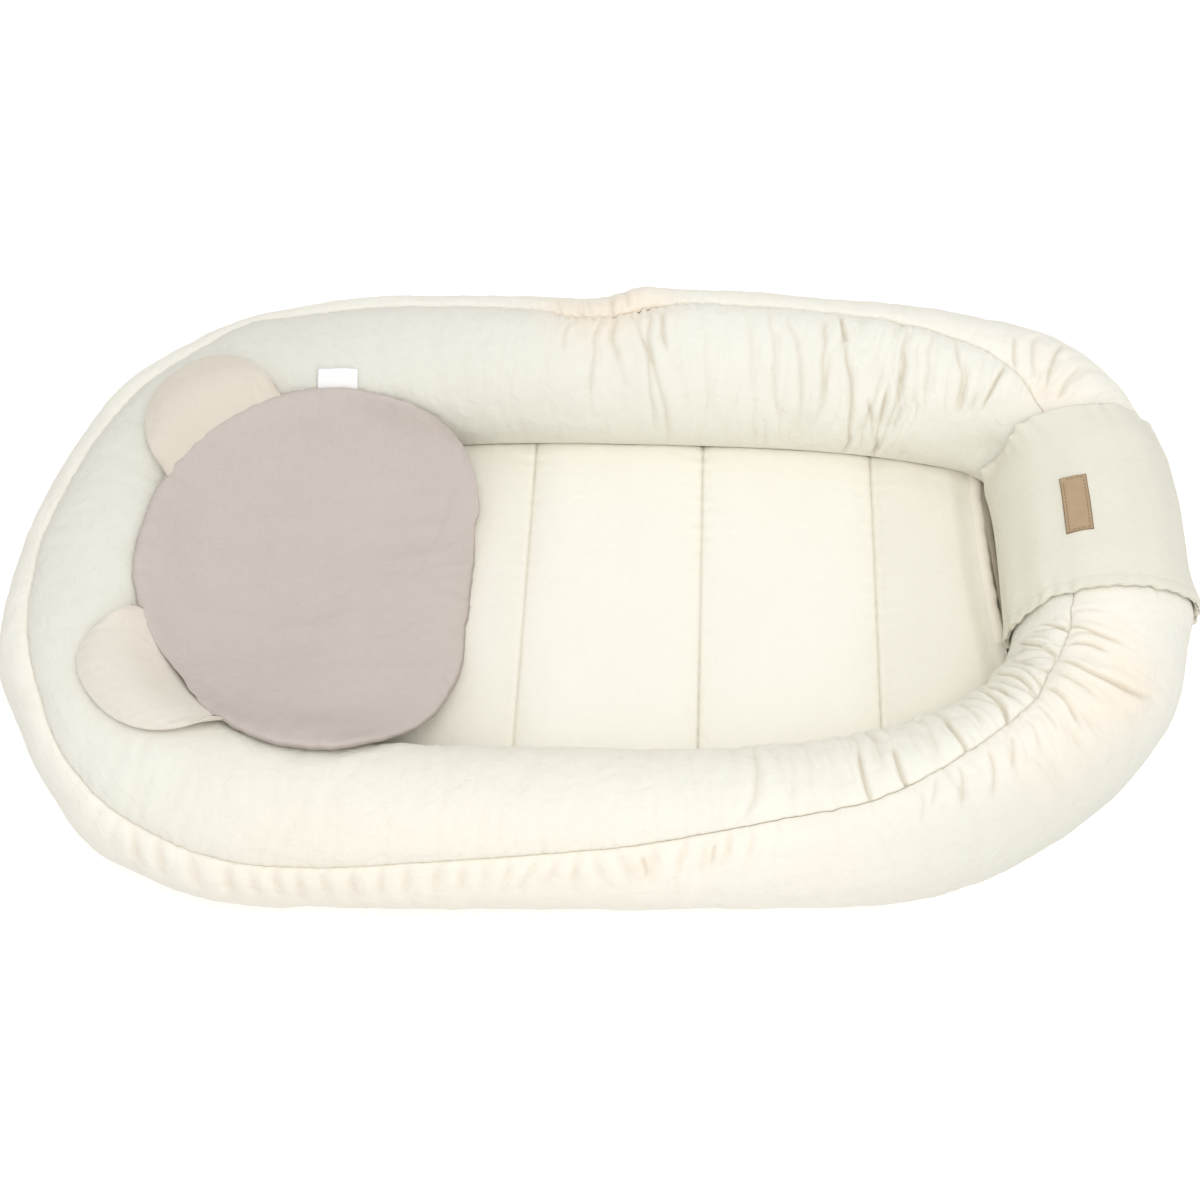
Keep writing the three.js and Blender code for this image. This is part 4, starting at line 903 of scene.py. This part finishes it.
# Stitched seams: narrow grooves, with puckers beside them that fade over a few millimetres
def mattressTop():
    x, y = floorGrid()
    z = floorTop(x, y)
    away = np.min([np.abs(x - s) for s in floorSeams], axis=0)
    nearEdge = np.minimum(y - y[:, :1], y[:, -1:] - y)
    z = z - quilting["groove"] * np.exp(-away / quilting["grooveWidth"])
    z = z + quilting["seamPucker"] * ripples(y, x / 60, 9, 18, 1.0, 7) * np.exp(-away / quilting["seamFade"])
    z = z + quilting["edgePucker"] * ripples(x, y / 60, 12, 26, 1.0, 7) * np.exp(-nearEdge / quilting["edgeFade"])
    z = z + 0.35 * ripples(x, y, 60, 160, 0.03) + 0.25 * ripples(y, x, 50, 120, 0.03)
    distance, radius, height = nearestRoll(x, y)
    beside = distance - np.sqrt(np.clip(radius ** 2 - (height - z) ** 2, 0, None))     # the crevice by the roll
    # line: dark seam lines, and painted shade along the crevice where the floor meets the roll
    line = np.clip(np.maximum(0.55 * bell(away, 1.4), 0.7 * bell(beside, 1.3)), 0, 1)
    # painted shade over the foot channel, which slopes down, and over the two channels at the head end
    paintedChannelShade = 0.65 * smooth((x - floorSeams[-1]) / 6) + 0.6 * smooth((floorSeams[1] - x) / 6)
    z = z + 0.8 * bell(footEdgeX(y) - floorPad["flange"] - x, 6)      # meets the binding
    upper = stacked(x, y, np.maximum(z, 2 * cloth["sheet"] + cloth["gap"]))
    lower = upper[:, spaced(x.shape[1], 40)] - np.array([0, 0, cloth["sheet"]])
    return shellPiece("mattressTop", upper, lower, stacked(x, y), {"line": line, "valley": paintedChannelShade})


mattress = mattressTop()
dress(mattress, "floorMuslin", "floor_muslin", "nest", "mattress_top")

fillingEase = {"side": 3, "end": 4, "seam": 2, "top": 3.4, "bottom": 2.2}
for k in range(len(floorSeams) + 1):
    low, high = channelEnds(k, np.zeros(1))
    low, high = max(low[0], headEdge + fillingEase["end"]), high[0] - fillingEase["seam"]
    x = mix(low, high, np.linspace(0.02, 0.98, 18)[:, None]) + np.zeros(22)
    inward = floorPad["tuckUnder"] + fillingEase["side"]
    y = mix(floorEdgeY(x, False) + inward, floorEdgeY(x, True) - inward, np.linspace(0, 1, 22))
    x = np.minimum(x, footEdgeX(y) - floorPad["flange"] - fillingEase["end"])
    top = stacked(x, y, np.maximum(floorTop(x, y) - fillingEase["top"], 4))
    filling = shellPiece("floorFilling%d" % (k + 1), top, stacked(x, y, fillingEase["bottom"]))
    dress(filling, "waddingFibre", "wadding", "nest", "floor_filling_%d" % (k + 1))


# Threads of the cross seams, in the groove
def seamStitches():
    rows = []
    for seam in floorSeams[1:]:
        low, high = float(floorEdgeY(seam, False)) + 3, float(floorEdgeY(seam, True)) - 3
        rows.append(stacked(seam, np.arange(low, high - 3, quilting["stitchPitch"])))
    x, y = np.concatenate(rows).T
    starts, ends = (stacked(x, at, floorTop(x, at) - quilting["groove"] + 0.1)
                    for at in (y, y + quilting["stitchLength"]))
    return stitchPiece("floorStitches", starts, ends, [0.0, 0, 1], quilting["threadRadius"])


dress(seamStitches(), "seamThread", "floor_muslin", "nest")


# Binding of the floor's foot edge: a rounded bead sunk into the floor's cloth, and a lining that
# slopes down from it below the cuff. Offset from the edge, and height over the bead's shoulder.
beadKnots = [(-10.5, -3.0), (-9.6, -1.2), (-8.2, 0.2), (-5.8, 1.2), (-3.4, 1.3), (-1.2, 0.4), (0.2, -1.4),
             (2.6, -3.6), (5.8, -6.2), (9.0, -9.6), (11.4, -14.5), (12.0, -20.0)]


# The section is a smooth curve through those places, closed along the base, and is swept along
# the foot edge
def footBinding():
    y = np.linspace(cuff["near"] - cuff["slotMargin"] + 1, cuff["far"] + cuff["slotMargin"] - 1, 120)
    shoulder = floorPad["footTop"] + cloth["gap"] + floorPad["binding"]
    knots = np.array(beadKnots)
    top = curveThrough(np.arange(len(knots)), knots, np.linspace(0, len(knots) - 1, 56))
    profile = np.vstack([top + np.array([0, shoulder]), [[knots[-1, 0], cloth["gap"]], [knots[0, 0], cloth["gap"]]]])
    y, wave = y[:, None], 0.5 * ripples(y, 0, 14, 40, 0, 7)[:, None]
    loops = stacked(footEdgeX(y) + profile[:, 0] + 0.6 * wave, y, profile[:, 1] * (1 + 0.02 * wave))
    # painted warm shade on the lining side, which slopes down into the slot
    lining = smooth((profile[:, 0] - 0.5) / 3)
    return sweptPiece("footEdgeBinding", loops, stacked(y, lengthAlong(*profile.T)), {"warm": 0.7 * lining})


dress(footBinding(), "bindingCloth", "binding_cloth", "nest", "foot_edge_binding")


# Base sheet: flat under the roll and the floor, with a slot for the cuff
def baseSheet():
    roll = rollAt(np.linspace(0, wayRound, 361)[:-1])
    reach = bumper["undersideReach"]
    outline = stacked(roll["x"] + reach * roll["outX"], roll["y"] + reach * roll["outY"])
    near, far = cuff["near"] - cuff["slotMargin"], cuff["far"] + cuff["slotMargin"]
    inSlot = (outline[:, 0] > 0) & (outline[:, 1] > near) & (outline[:, 1] < far)
    first = np.argmax(outline[:, 1] >= far)
    kept = np.roll(outline, -first, axis=0)[~np.roll(inSlot, -first)]
    slot = [(kept[-1, 0], near), (clothEndX(near), near), (clothEndX(far), far), (kept[0, 0], far)]
    flat = np.concatenate([kept, slot])
    loops = stacked(flat[:, 0], flat[:, 1], np.array([[0], [cloth["sheet"]]]))
    return sweptPiece("baseSheet", loops, np.stack([flat, flat]))


dress(baseSheet(), "liningCloth", "lining_cloth", "nest", "base_sheet")

# The cuff and what is sewn on it

print("cuff")
stripRadius = 62       # for measures round the roll on the cuff
hem = {"rim": 2.2, "puff": 1.4, "puffReach": 22, "ridge": 0.5, "ridgeWidth": 1.6}


# Points on the roll at the foot: at a given y, angle round the roll and inset
def cuffGrid(y, angle, inset):
    proud = cuffProud(angle) + cuffFlare(y, angle)
    y, angle, inset = np.broadcast_arrays(y + cuffDrift(angle), angle, inset - proud)
    way = wayAtY(y, angle, inset)
    return surfacePoint(rollAt(way), angle, inset)


def cuffBand():
    start = cuff["slitAngle"] + cuff["slitGapAngle"]
    angle = np.linspace(start, start + 360 - 2 * cuff["slitGapAngle"], 250)[:, None]
    # its far edge is cut back on the floor's side and, more, below the tip beside the floor
    far = cuff["far"] + hump(cuff, "farTrim", angle) + hump(cuff, "farWide", angle)
    below = smooth((angle - cuff["lowTrimAngle"]) / cuff["lowTrimFade"])
    far = far + cuff["lowTrim"] * below * smooth((cuff["lowTrimEndAngle"] - angle) / cuff["lowTrimEndFade"])
    near = cuff["near"] + 0.7 * ripples(angle * 1.1, 0, 9, 26, 0, 7) + 0.6 * ripples(angle * 1.1, 0, 30, 60, 0, 4)
    y = mix(near, far, crowded(84))
    fromEdge = np.minimum(y - near, far - y)
    thick = cuffInset - 0.3
    rim = edgeRound(fromEdge, hem["rim"]) * thick / 2
    puff = hem["ridge"] * bell(y - near - cuff["hem"], hem["ridgeWidth"])
    puff = puff - hem["puff"] * smooth((fromEdge - cuff["hem"]) / hem["puffReach"])
    waves = 0.5 * ripples(angle * 1.1, y / 60, 26, 80, 1.5) + 0.35 * ripples(y, angle / 40, 30, 90, 1.0)
    waves = waves + 0.9 * ripples(angle * 1.1, y / 60, 9, 18, 0.5, 7) * np.exp(-fromEdge / 9)
    low = np.clip(np.abs((angle + 90) % 360 - 180) / 90 - 0.9, 0, 1)      # 0 but on the flat underside
    pick = spaced(y.shape[1], 30)
    upper = cuffGrid(y, angle, rim + (puff + waves) * (1 - smooth(low * 4)))
    lower = cuffGrid(y[:, pick], angle, thick - rim[:, pick])
    line = 0.35 * bell(fromEdge, 1.0) + 0.22 * bell(y - near - cuff["hem"], 0.8)
    return shellPiece("cuffBand", upper, lower, stacked(angle * 1.06, y), {"line": line})


band = cuffBand()
dress(band, "cuffMuslin", "cuff_muslin", "nest", "cuff_face", "cuff_batting", "cuff_lining")


# A flat strip on the cuff: places, way round from its first edge, and distance from the other three
def stripPlaces(near, far, fromAngle, toAngle, across, around, radius):
    y = np.linspace(near, far, across)
    angle = np.linspace(fromAngle, toAngle, around)[:, None]
    arc = np.abs(angle - fromAngle) * toRadians * radius
    return y, angle, arc, np.minimum(np.minimum(y - near, far - y), arc[-1] - arc)


def stripPiece(name, edges, lift, thickness, across=30, around=18, bulge=0.25, groove=None):
    y, angle, arc, fromEdge = stripPlaces(*edges, across, around, stripRadius)
    fromEdge = np.minimum(fromEdge, arc)
    upper = cuffGrid(y, angle, -(lift + thickness) + edgeRound(fromEdge, 0.7) * thickness * bulge)
    marks = None
    if groove:
        normal = pointNormals(upper)
        sunk = groove * bell(fromEdge - label["seam"], 0.7)[..., None]
        upper = upper - normal * np.sign(normal[around // 2, across // 2, 2]) * sunk
        marks = {"line": 0.9 * bell(fromEdge, 0.7)}
    return shellPiece(name, upper, cuffGrid(y, angle, -lift + 0 * fromEdge), stacked(arc, y), marks)


tapeEdges = (tab["near"] + tab["tapeMargin"], tab["far"] - tab["tapeMargin"], tab["tapeStartAngle"],
             tab["tapeEndAngle"])
loopTape = stripPiece("loopTape", tapeEdges, cloth["gap"], tab["tape"])
dress(loopTape, "fasteningTape", "fastening_tape", "nest", "loop_tape")
hookTape = stripPiece("hookTape", tapeEdges, 2 * cloth["gap"] + tab["tape"], tab["tape"])
dress(hookTape, "fasteningTape", "fastening_tape", "closing_tab", "hook_tape")


# Closing tab: two layers of cloth that step out over the tapes towards its tip
def closingTab():
    y, angle, arc, fromEdge = stripPlaces(tab["near"], tab["far"], tab["hingeAngle"], tab["tipAngle"], 60, 40,
                                         tab["radius"])
    over = smooth((tab["hingeAngle"] - angle) / (tab["hingeAngle"] - tab["tapeStartAngle"]))
    below = cloth["gap"] + 2 * (tab["tape"] + cloth["gap"]) * over
    thick = cloth["sheet"] * 2 + cloth["gap"]
    rim = edgeRound(fromEdge, 1.4) * thick / 2
    wave = 0.25 * ripples(y, angle / 40, 20, 60, 1.0)
    upper = cuffGrid(y, angle, -(below + thick) + rim + wave * smooth(fromEdge / 6))
    lower = cuffGrid(y, angle, -below - rim)
    return shellPiece("closingTab", upper, lower, stacked(arc, y), {"line": 0.2 * bell(fromEdge - 3, 0.5)})


closing = closingTab()
dress(closing, "cuffMuslin", "cuff_muslin", "closing_tab", "tab_face", "tab_lining")

# Leather label, thin at its edge and pressed in along its seam
labelEdges = (label["near"], label["far"], label["lowAngle"], label["highAngle"])
leather = stripPiece("leatherLabel", labelEdges, label["lift"], label["thickness"], 90, 40, 0.7, 0.35)
dress(leather, "tanLeather", "tan_leather", "nest", "leather_label")


def labelStitches():
    perMillimetre = 1 / (toRadians * stripRadius)
    pitch, length = (label[key] * perMillimetre for key in ("stitchPitch", "stitchLength"))
    low, high = label["lowAngle"] + label["seam"] * perMillimetre, label["highAngle"] - label["seam"] * perMillimetre
    near, far = label["near"] + label["seam"], label["far"] - label["seam"]
    y, a = np.arange(near, far - 2, label["stitchPitch"]), np.arange(low, high - length, pitch)
    sides = [(stacked(y, angle), stacked(y + label["stitchLength"], angle)) for angle in (low, high)]
    sides += [(stacked(edge, a), stacked(edge, a + length)) for edge in (near, far)]
    starts, ends = (np.concatenate(side).T for side in zip(*sides))
    inset = 0.2 - label["lift"] - label["thickness"]
    first, last = cuffGrid(*starts, inset), cuffGrid(*ends, inset)
    outward = cuffGrid(*starts, inset - 1) - first
    return stitchPiece("labelStitches", first, last, outward, label["threadRadius"])


dress(labelStitches(), "leatherThread", "tan_leather", "nest")

# The pillow

print("pillow")


def pillowOutline(angle):
    c, s = np.cos(angle * toRadians), np.sin(angle * toRadians)
    power = squarenessOf(pillowSquareness, c, s)
    along = np.abs(c) / np.where(c > 0, pillow["footReach"], pillow["headReach"])
    across = np.abs(s) / np.where(s > 0, pillow["farReach"], pillow["nearReach"])
    return (along ** power + across ** power) ** (-1 / power)


def pillowPlace(angle, share, beyond=0.0):
    distance = pillowOutline(angle) * share + beyond
    return pillow["x"] + distance * np.cos(angle * toRadians), pillow["y"] + distance * np.sin(angle * toRadians)


# The nest's upper surface, with the room that a soft piece keeps above it
def restHeight(x, y, clear):
    distance, radius, height = nearestRoll(x, y)
    onFloor = floorTop(x, y) + cloth["gap"]
    room = radius + clear
    arc = np.sqrt(np.clip(room ** 2 - distance ** 2, 0, None))
    return np.where(distance >= room, onFloor, np.maximum(onFloor, height + arc))


def cushionHalf(fullness, thickness):
    thin = cloth["gap"] / 2 + cloth["sheet"]
    return thin + (thickness / 2 - thin) * fullness


# A soft sheet settled on what is under it: each point hangs a little below the mean of its
# neighbours, and never lower than its own rest. Rings and spokes are knots of a wide net.
def settledPillow():
    angles = 360 * np.arange(pillowSpokes) / pillowSpokes
    x, y = pillowPlace(angles[None], pillowKnots[:, None])
    full = (1 - pillowKnots ** pillow["crownPower"]) ** pillow["edgePower"]
    rest = restHeight(x, y, pillow["rollClear"]) + cushionHalf(full, pillow["thickness"])[:, None]
    heights = rest.copy()
    for _ in range(settleRounds):
        around = np.roll(heights, 1, 1) + np.roll(heights, -1, 1)
        inward = np.vstack([heights[:1], heights[:-1]])
        outward = np.vstack([heights[1:], heights[-1:]])
        mean = (around + inward + outward) / 4
        mean[-1] = (around[-1] + inward[-1]) / 3
        mean[0] = heights[1].mean()
        heights = np.maximum(rest, mean - pillow["sag"])
        heights[0] = heights[0].max()
    return angles, heights


settledAngles, settledHeights = settledPillow()


# Height of the pillow's middle layer, by cubics through the settled net, round and outwards
def pillowMiddle(angle, share):
    wide = np.concatenate([settledAngles - 360, settledAngles, settledAngles + 360])
    byAngle = curveThrough(wide, np.tile(settledHeights, (1, 3)).T, np.mod(angle, 360)).T
    return curveThrough(pillowKnots, byAngle, share)


pillowFold = {"depth": 1.5, "x": 47.12, "lean": 0.24, "width": 3.2, "near": 24, "far": 104}


def headPillow():
    spokes, rings = pillow["spokes"], pillow["rings"]
    angles = 360 * np.arange(spokes) / spokes
    shares = np.sin(np.linspace(0, 1, rings + 1)[1:] * np.pi / 2)
    outwards = shares[:, None]
    middle = pillowMiddle(angles, shares)
    x, y = pillowPlace(angles, outwards)
    full = (np.clip(1 - shares ** pillow["crownPower"], 0, 1) ** pillow["edgePower"])[:, None]
    fromRim = pillowOutline(angles) * (1 - outwards)
    rimWay = lengthAlong(x[-1], y[-1])
    puckers = ripples(rimWay, fromRim / 30, 10, 22, 0.8) * np.exp(-fromRim / 15) * (1 - np.exp(-fromRim / 3))
    soft = 0.55 * ripples(x, y / 60, 50, 150, 1.2) + 0.4 * ripples(y, x / 60, 30, 70, 1.0)
    # the drawn rim: cut back at the foot side, waved, and lifted at the near side
    turned = (angles + 90) % 360 - 90
    trim = smooth((turned - pillow["footTrimFrom"]) / 26) * smooth((pillow["footTrimTo"] - turned) / 4)
    trim = pillow["footTrim"] * trim + sum(depth * bell(turned - at, spread) for at, spread, depth in pillow["trims"])
    rimWave = 0.35 * ripples(rimWay, 0, 11, 34, 0, 8) + 0.9 * ripples(rimWay, 0, 60, 140, 0, 5)
    x, y = pillowPlace(angles, outwards, (rimWave - trim) * outwards ** 6)
    middle = middle + hump(pillow, "nearLift", angles) * smooth((outwards - 0.8) / 0.2)
    fold = pillowFold["depth"] * smooth((y - pillowFold["near"]) / 30) * smooth((pillowFold["far"] - y) / 30)
    fold = fold * bell(x - pillow["x"] - pillowFold["x"] - pillowFold["lean"] * y, pillowFold["width"])
    wrinkles = 1.2 * crumpled(x * 0.5 + 40, y * 1.5 - 0.3 * x, 36) + 0.4 * crumpled(x + 300, y * 1.6, 14)
    layers = []
    for side in (1, -1):
        lift = cushionHalf(full, pillow["thickness"]) - (fold if side == 1 else 0)
        lift = lift + side * (soft + wrinkles) * full + puckers
        layers.append(stacked(x, y, middle + side * np.maximum(lift, cloth["sheet"] * 0.4)))
    top, bottom = layers
    points = np.concatenate([top.reshape(-1, 3), bottom[::-1].reshape(-1, 3), [top[0].mean(0), bottom[0].mean(0)]])
    # fans of triangles close the middle of both sides
    a = np.arange(spokes)
    b = (a + 1) % spokes
    pole, last = 2 * rings * spokes, (2 * rings - 1) * spokes
    fans = [*np.column_stack([a * 0 + pole, a, b]), *np.column_stack([a * 0 + pole + 1, last + b, last + a])]
    flat = stacked(x, y)
    uv = np.concatenate([flat.reshape(-1, 2), flat[::-1].reshape(-1, 2), [(pillow["x"], pillow["y"])] * 2])
    # the rim lies in shade from the foot side to the near side
    atRim = (angles + 180) % 360 - 180
    deep = smooth((42 - atRim) / 20) * smooth((atRim + 135) / 20)
    edge = (0.5 + 0.5 * deep) * bell(fromRim, 0.9 + 0.7 * deep)
    line = np.concatenate([edge.ravel(), edge[::-1].ravel(), [0, 0]])
    return newPiece("headPillow", points, sweptQuads(2 * rings, spokes), fans, uv, {"line": line})


pillowPiece = headPillow()
dress(pillowPiece, "greigeMuslin", "pillow_muslin", "pillow", "pillow_front", "pillow_back", "pillow_stuffing")


# Ears: two-sided half rounds, drawn out from the pillow's rim and draped over the bumper
def earGrid(middleAngle, pointAngle, acrossShares, upShares):
    low, high = middleAngle - ear["halfAngle"], middleAngle + ear["halfAngle"]
    first, last = (np.array(pillowPlace(end, 1, ear["seamGap"])) for end in (low, high))
    outward = np.array([math.cos(pointAngle * toRadians), math.sin(pointAngle * toRadians)])
    angle = mix(low, high, acrossShares)
    root = stacked(*pillowPlace(angle, 1, ear["seamGap"]))
    arch = (1 - np.abs(2 * acrossShares - 1) ** ear["squareness"]) ** (1 / ear["squareness"])
    rise = mix(ear["root"], ear["height"], arch)
    tip = mix(first, last, acrossShares[:, None]) + outward * rise[:, None]
    place = mix(root[:, None], tip[:, None], upShares[:, None])
    full = np.sin(np.pi * upShares) ** ear["upPower"] * np.sin(np.pi * acrossShares)[:, None] ** ear["acrossPower"]
    return angle, place, np.clip(np.nan_to_num(full), 0, None)


def earPiece(side, middleAngle, pointAngle):
    acrossKnots = np.linspace(0, 1, ear["columns"] + 1)
    upKnots = np.linspace(0, 1, ear["rows"] + 1)
    angle, place, full = earGrid(middleAngle, pointAngle, acrossKnots, upKnots)
    rest = restHeight(place[..., 0], place[..., 1], pillow["rollClear"]) + cushionHalf(full, ear["thickness"])
    rootShare = 1 + ear["seamGap"] / pillowOutline(angle)
    rest[:, 0] = np.maximum(rest[:, 0] - 3, np.diagonal(pillowMiddle(angle, rootShare)) - 1)
    heights = rest.copy()
    for _ in range(settleRounds):
        padded = np.pad(heights, 1, mode="edge")
        mean = (padded[:-2, 1:-1] + padded[2:, 1:-1] + padded[1:-1, :-2] + padded[1:-1, 2:]) / 4
        mean[:, 0] = heights[:, 0]
        heights = np.maximum(rest, mean)
    across, up = crowded(72), crowded(44)
    _, fine, full = earGrid(middleAngle, pointAngle, across, up)
    middle = curveThrough(upKnots, curveThrough(acrossKnots, heights, across).T, up).T
    halfThick = cushionHalf(full, ear["thickness"])
    fromRim = np.minimum(np.minimum(across, 1 - across)[:, None] * 100, (1 - up) * 55)
    puckers = ripples(across[:, None] * 150, up * 2, 9, 20, 0.8) * np.exp(-fromRim / 12) * (1 - np.exp(-fromRim / 2.5))
    soft = 0.5 * ripples(fine[..., 0], fine[..., 1] / 40, 26, 70, 1.0) * full
    upper = np.concatenate([fine, (middle + halfThick + soft + 0.6 * puckers)[..., None]], -1)
    lower = np.concatenate([fine, (middle - halfThick + soft)[..., None]], -1)
    # painted shade: a dark line at the ear's root, and the far ear, which the key light reaches more, darkened whole
    # by the valley mark
    marks = {"line": 0.5 * bell(up * 50, 1.2), "valley": 1.3 if side == "Far" else 0.0}
    return shellPiece("ear" + side, upper, lower, fine, marks)


for side, middleAngle in earMiddleAngles.items():
    piece = earPiece(side, middleAngle, earPointAngles[side])
    nodes = ["ear_%s_%s" % (side.lower(), part) for part in ("front", "back", "padding")]
    dress(piece, "earMuslin", "ear_muslin", "pillow", *nodes)


# Care label: a satin ribbon that leaves the pillow's far seam and lies on the bumper
def careTab():
    u, v = np.linspace(-0.5, 0.5, 24)[:, None], np.linspace(0, 1, 16)
    x = careLabel["x"] + careLabel["width"] * u + 0 * v
    power = pillowSquareness["headFar"]
    along = np.abs(x - pillow["x"]) / pillow["headReach"]
    edge = pillow["y"] + pillow["farReach"] * (1 - along ** power) ** (1 / power)
    y = edge + careLabel["rootGap"] + careLabel["length"] * v
    wave = careLabel["wave"] * np.sin(u * careLabel["waveTurn"]) * v
    lower = stacked(x, y, restHeight(x, y, careLabel["clear"]) + wave + careLabel["lift"])
    upper = lower + np.array([0, 0, careLabel["thickness"]])
    return shellPiece("careLabel", upper, lower, stacked(x, y))


careTag = careTab()
dress(careTag, "whiteSatin", "white_satin", "label_flap", "care_label")

# Floor, light and camera

print("stage")

stage = {"floorSize": 12.0, "world": 0.74, "key": 6.2, "keySize": 0.9, "fill": 5.4, "fillSize": 1.8, "floorGlow": 0.27}


# Strength of a background: a base, and more for rays that show it to the camera, straight or mirrored
def backdropStrength(tree, base, extra):
    path = tree.nodes.new("ShaderNodeLightPath").outputs
    seen = path["Is Camera Ray"]
    for ray in ("Is Glossy Ray", "Is Transmission Ray"):
        seen = addNode(tree, "Math", {0: seen, 1: path[ray]}, operation="MAXIMUM")
    return addNode(tree, "Math", {0: seen, 1: extra, 2: base}, operation="MULTIPLY_ADD")


def stageFloor():
    size = stage["floorSize"] / 2
    mesh = bpy.data.meshes.new("studioFloor")
    corners = [(-size, -size), (size, -size), (size, size), (-size, size)]
    mesh.from_pydata([(x, y, -0.0004) for x, y in corners], [], [(0, 1, 2, 3)])
    floor = linkedObject("studioFloor", mesh)
    material, tree, shader = newMaterial("studioFloor", {
        "Base Color": (0.94, 0.92, 0.9, 1), "Roughness": 0.9, "Specular IOR Level": 0.1,
        "Emission Color": (1, 1, 1, 1),
    })
    setInputs(tree, shader, {"Emission Strength": backdropStrength(tree, 0, stage["floorGlow"])})
    mesh.materials.append(material)


def areaLight(name, place, aim, power, size):
    data = bpy.data.lights.new(name, "AREA")
    data.energy = power
    data.size = size
    light = linkedObject(name, data)
    light.location = place
    light.rotation_euler = (Vector(aim) - Vector(place)).to_track_quat("-Z", "Y").to_euler()


stageFloor()
world = bpy.data.worlds.new("studioWorld")
bpy.context.scene.world = world
world.use_nodes = True
setInputs(world.node_tree, world.node_tree.nodes["Background"], {
    "Color": (1, 1, 1, 1), "Strength": backdropStrength(world.node_tree, stage["world"], 1 - stage["world"]),
})
areaLight("keyLight", (0.12, -0.2, 1.35), (0, 0, 0.05), stage["key"], stage["keySize"])
areaLight("fillLight", (0.5, -1.4, 1.15), (0, 0, 0.05), stage["fill"], stage["fillSize"])

# Camera: the angles and the distance at which the photograph's outline, inner edge and seams fit.
# Picture sizes are pixels of the 1200 by 1200 photograph.
view = {"azimuth": 2.121, "elevation": 64.958, "roll": 0.603, "distance": 1061.99, "target": (0, 0, 60),
        "focalPixels": 1352.898, "centreX": 601.605, "centreY": 588.019, "pictureSize": 1200}


def makeCamera():
    a, e, r = (view[k] * toRadians for k in ("azimuth", "elevation", "roll"))
    back = Vector((math.sin(a) * math.cos(e), -math.cos(a) * math.cos(e), math.sin(e)))
    right = Vector((math.cos(a), math.sin(a), 0))
    up = back.cross(right)
    right, up = right * math.cos(r) + up * math.sin(r), up * math.cos(r) - right * math.sin(r)
    data = bpy.data.cameras.new("photoCamera")
    camera = linkedObject("photoCamera", data)
    size = view["pictureSize"]
    data.sensor_fit = "HORIZONTAL"
    data.lens = view["focalPixels"] * data.sensor_width / size
    data.shift_x = (size / 2 - view["centreX"]) / size
    data.shift_y = (view["centreY"] - size / 2) / size
    place = (Vector(view["target"]) + Vector(shift.tolist()) + back * view["distance"]) * metre
    turn = Matrix((right, up, back)).transposed().to_4x4()
    camera.matrix_world = Matrix.Translation(place) @ turn
    bpy.context.scene.camera = camera


makeCamera()
bpy.context.scene.view_settings.view_transform = "Standard"
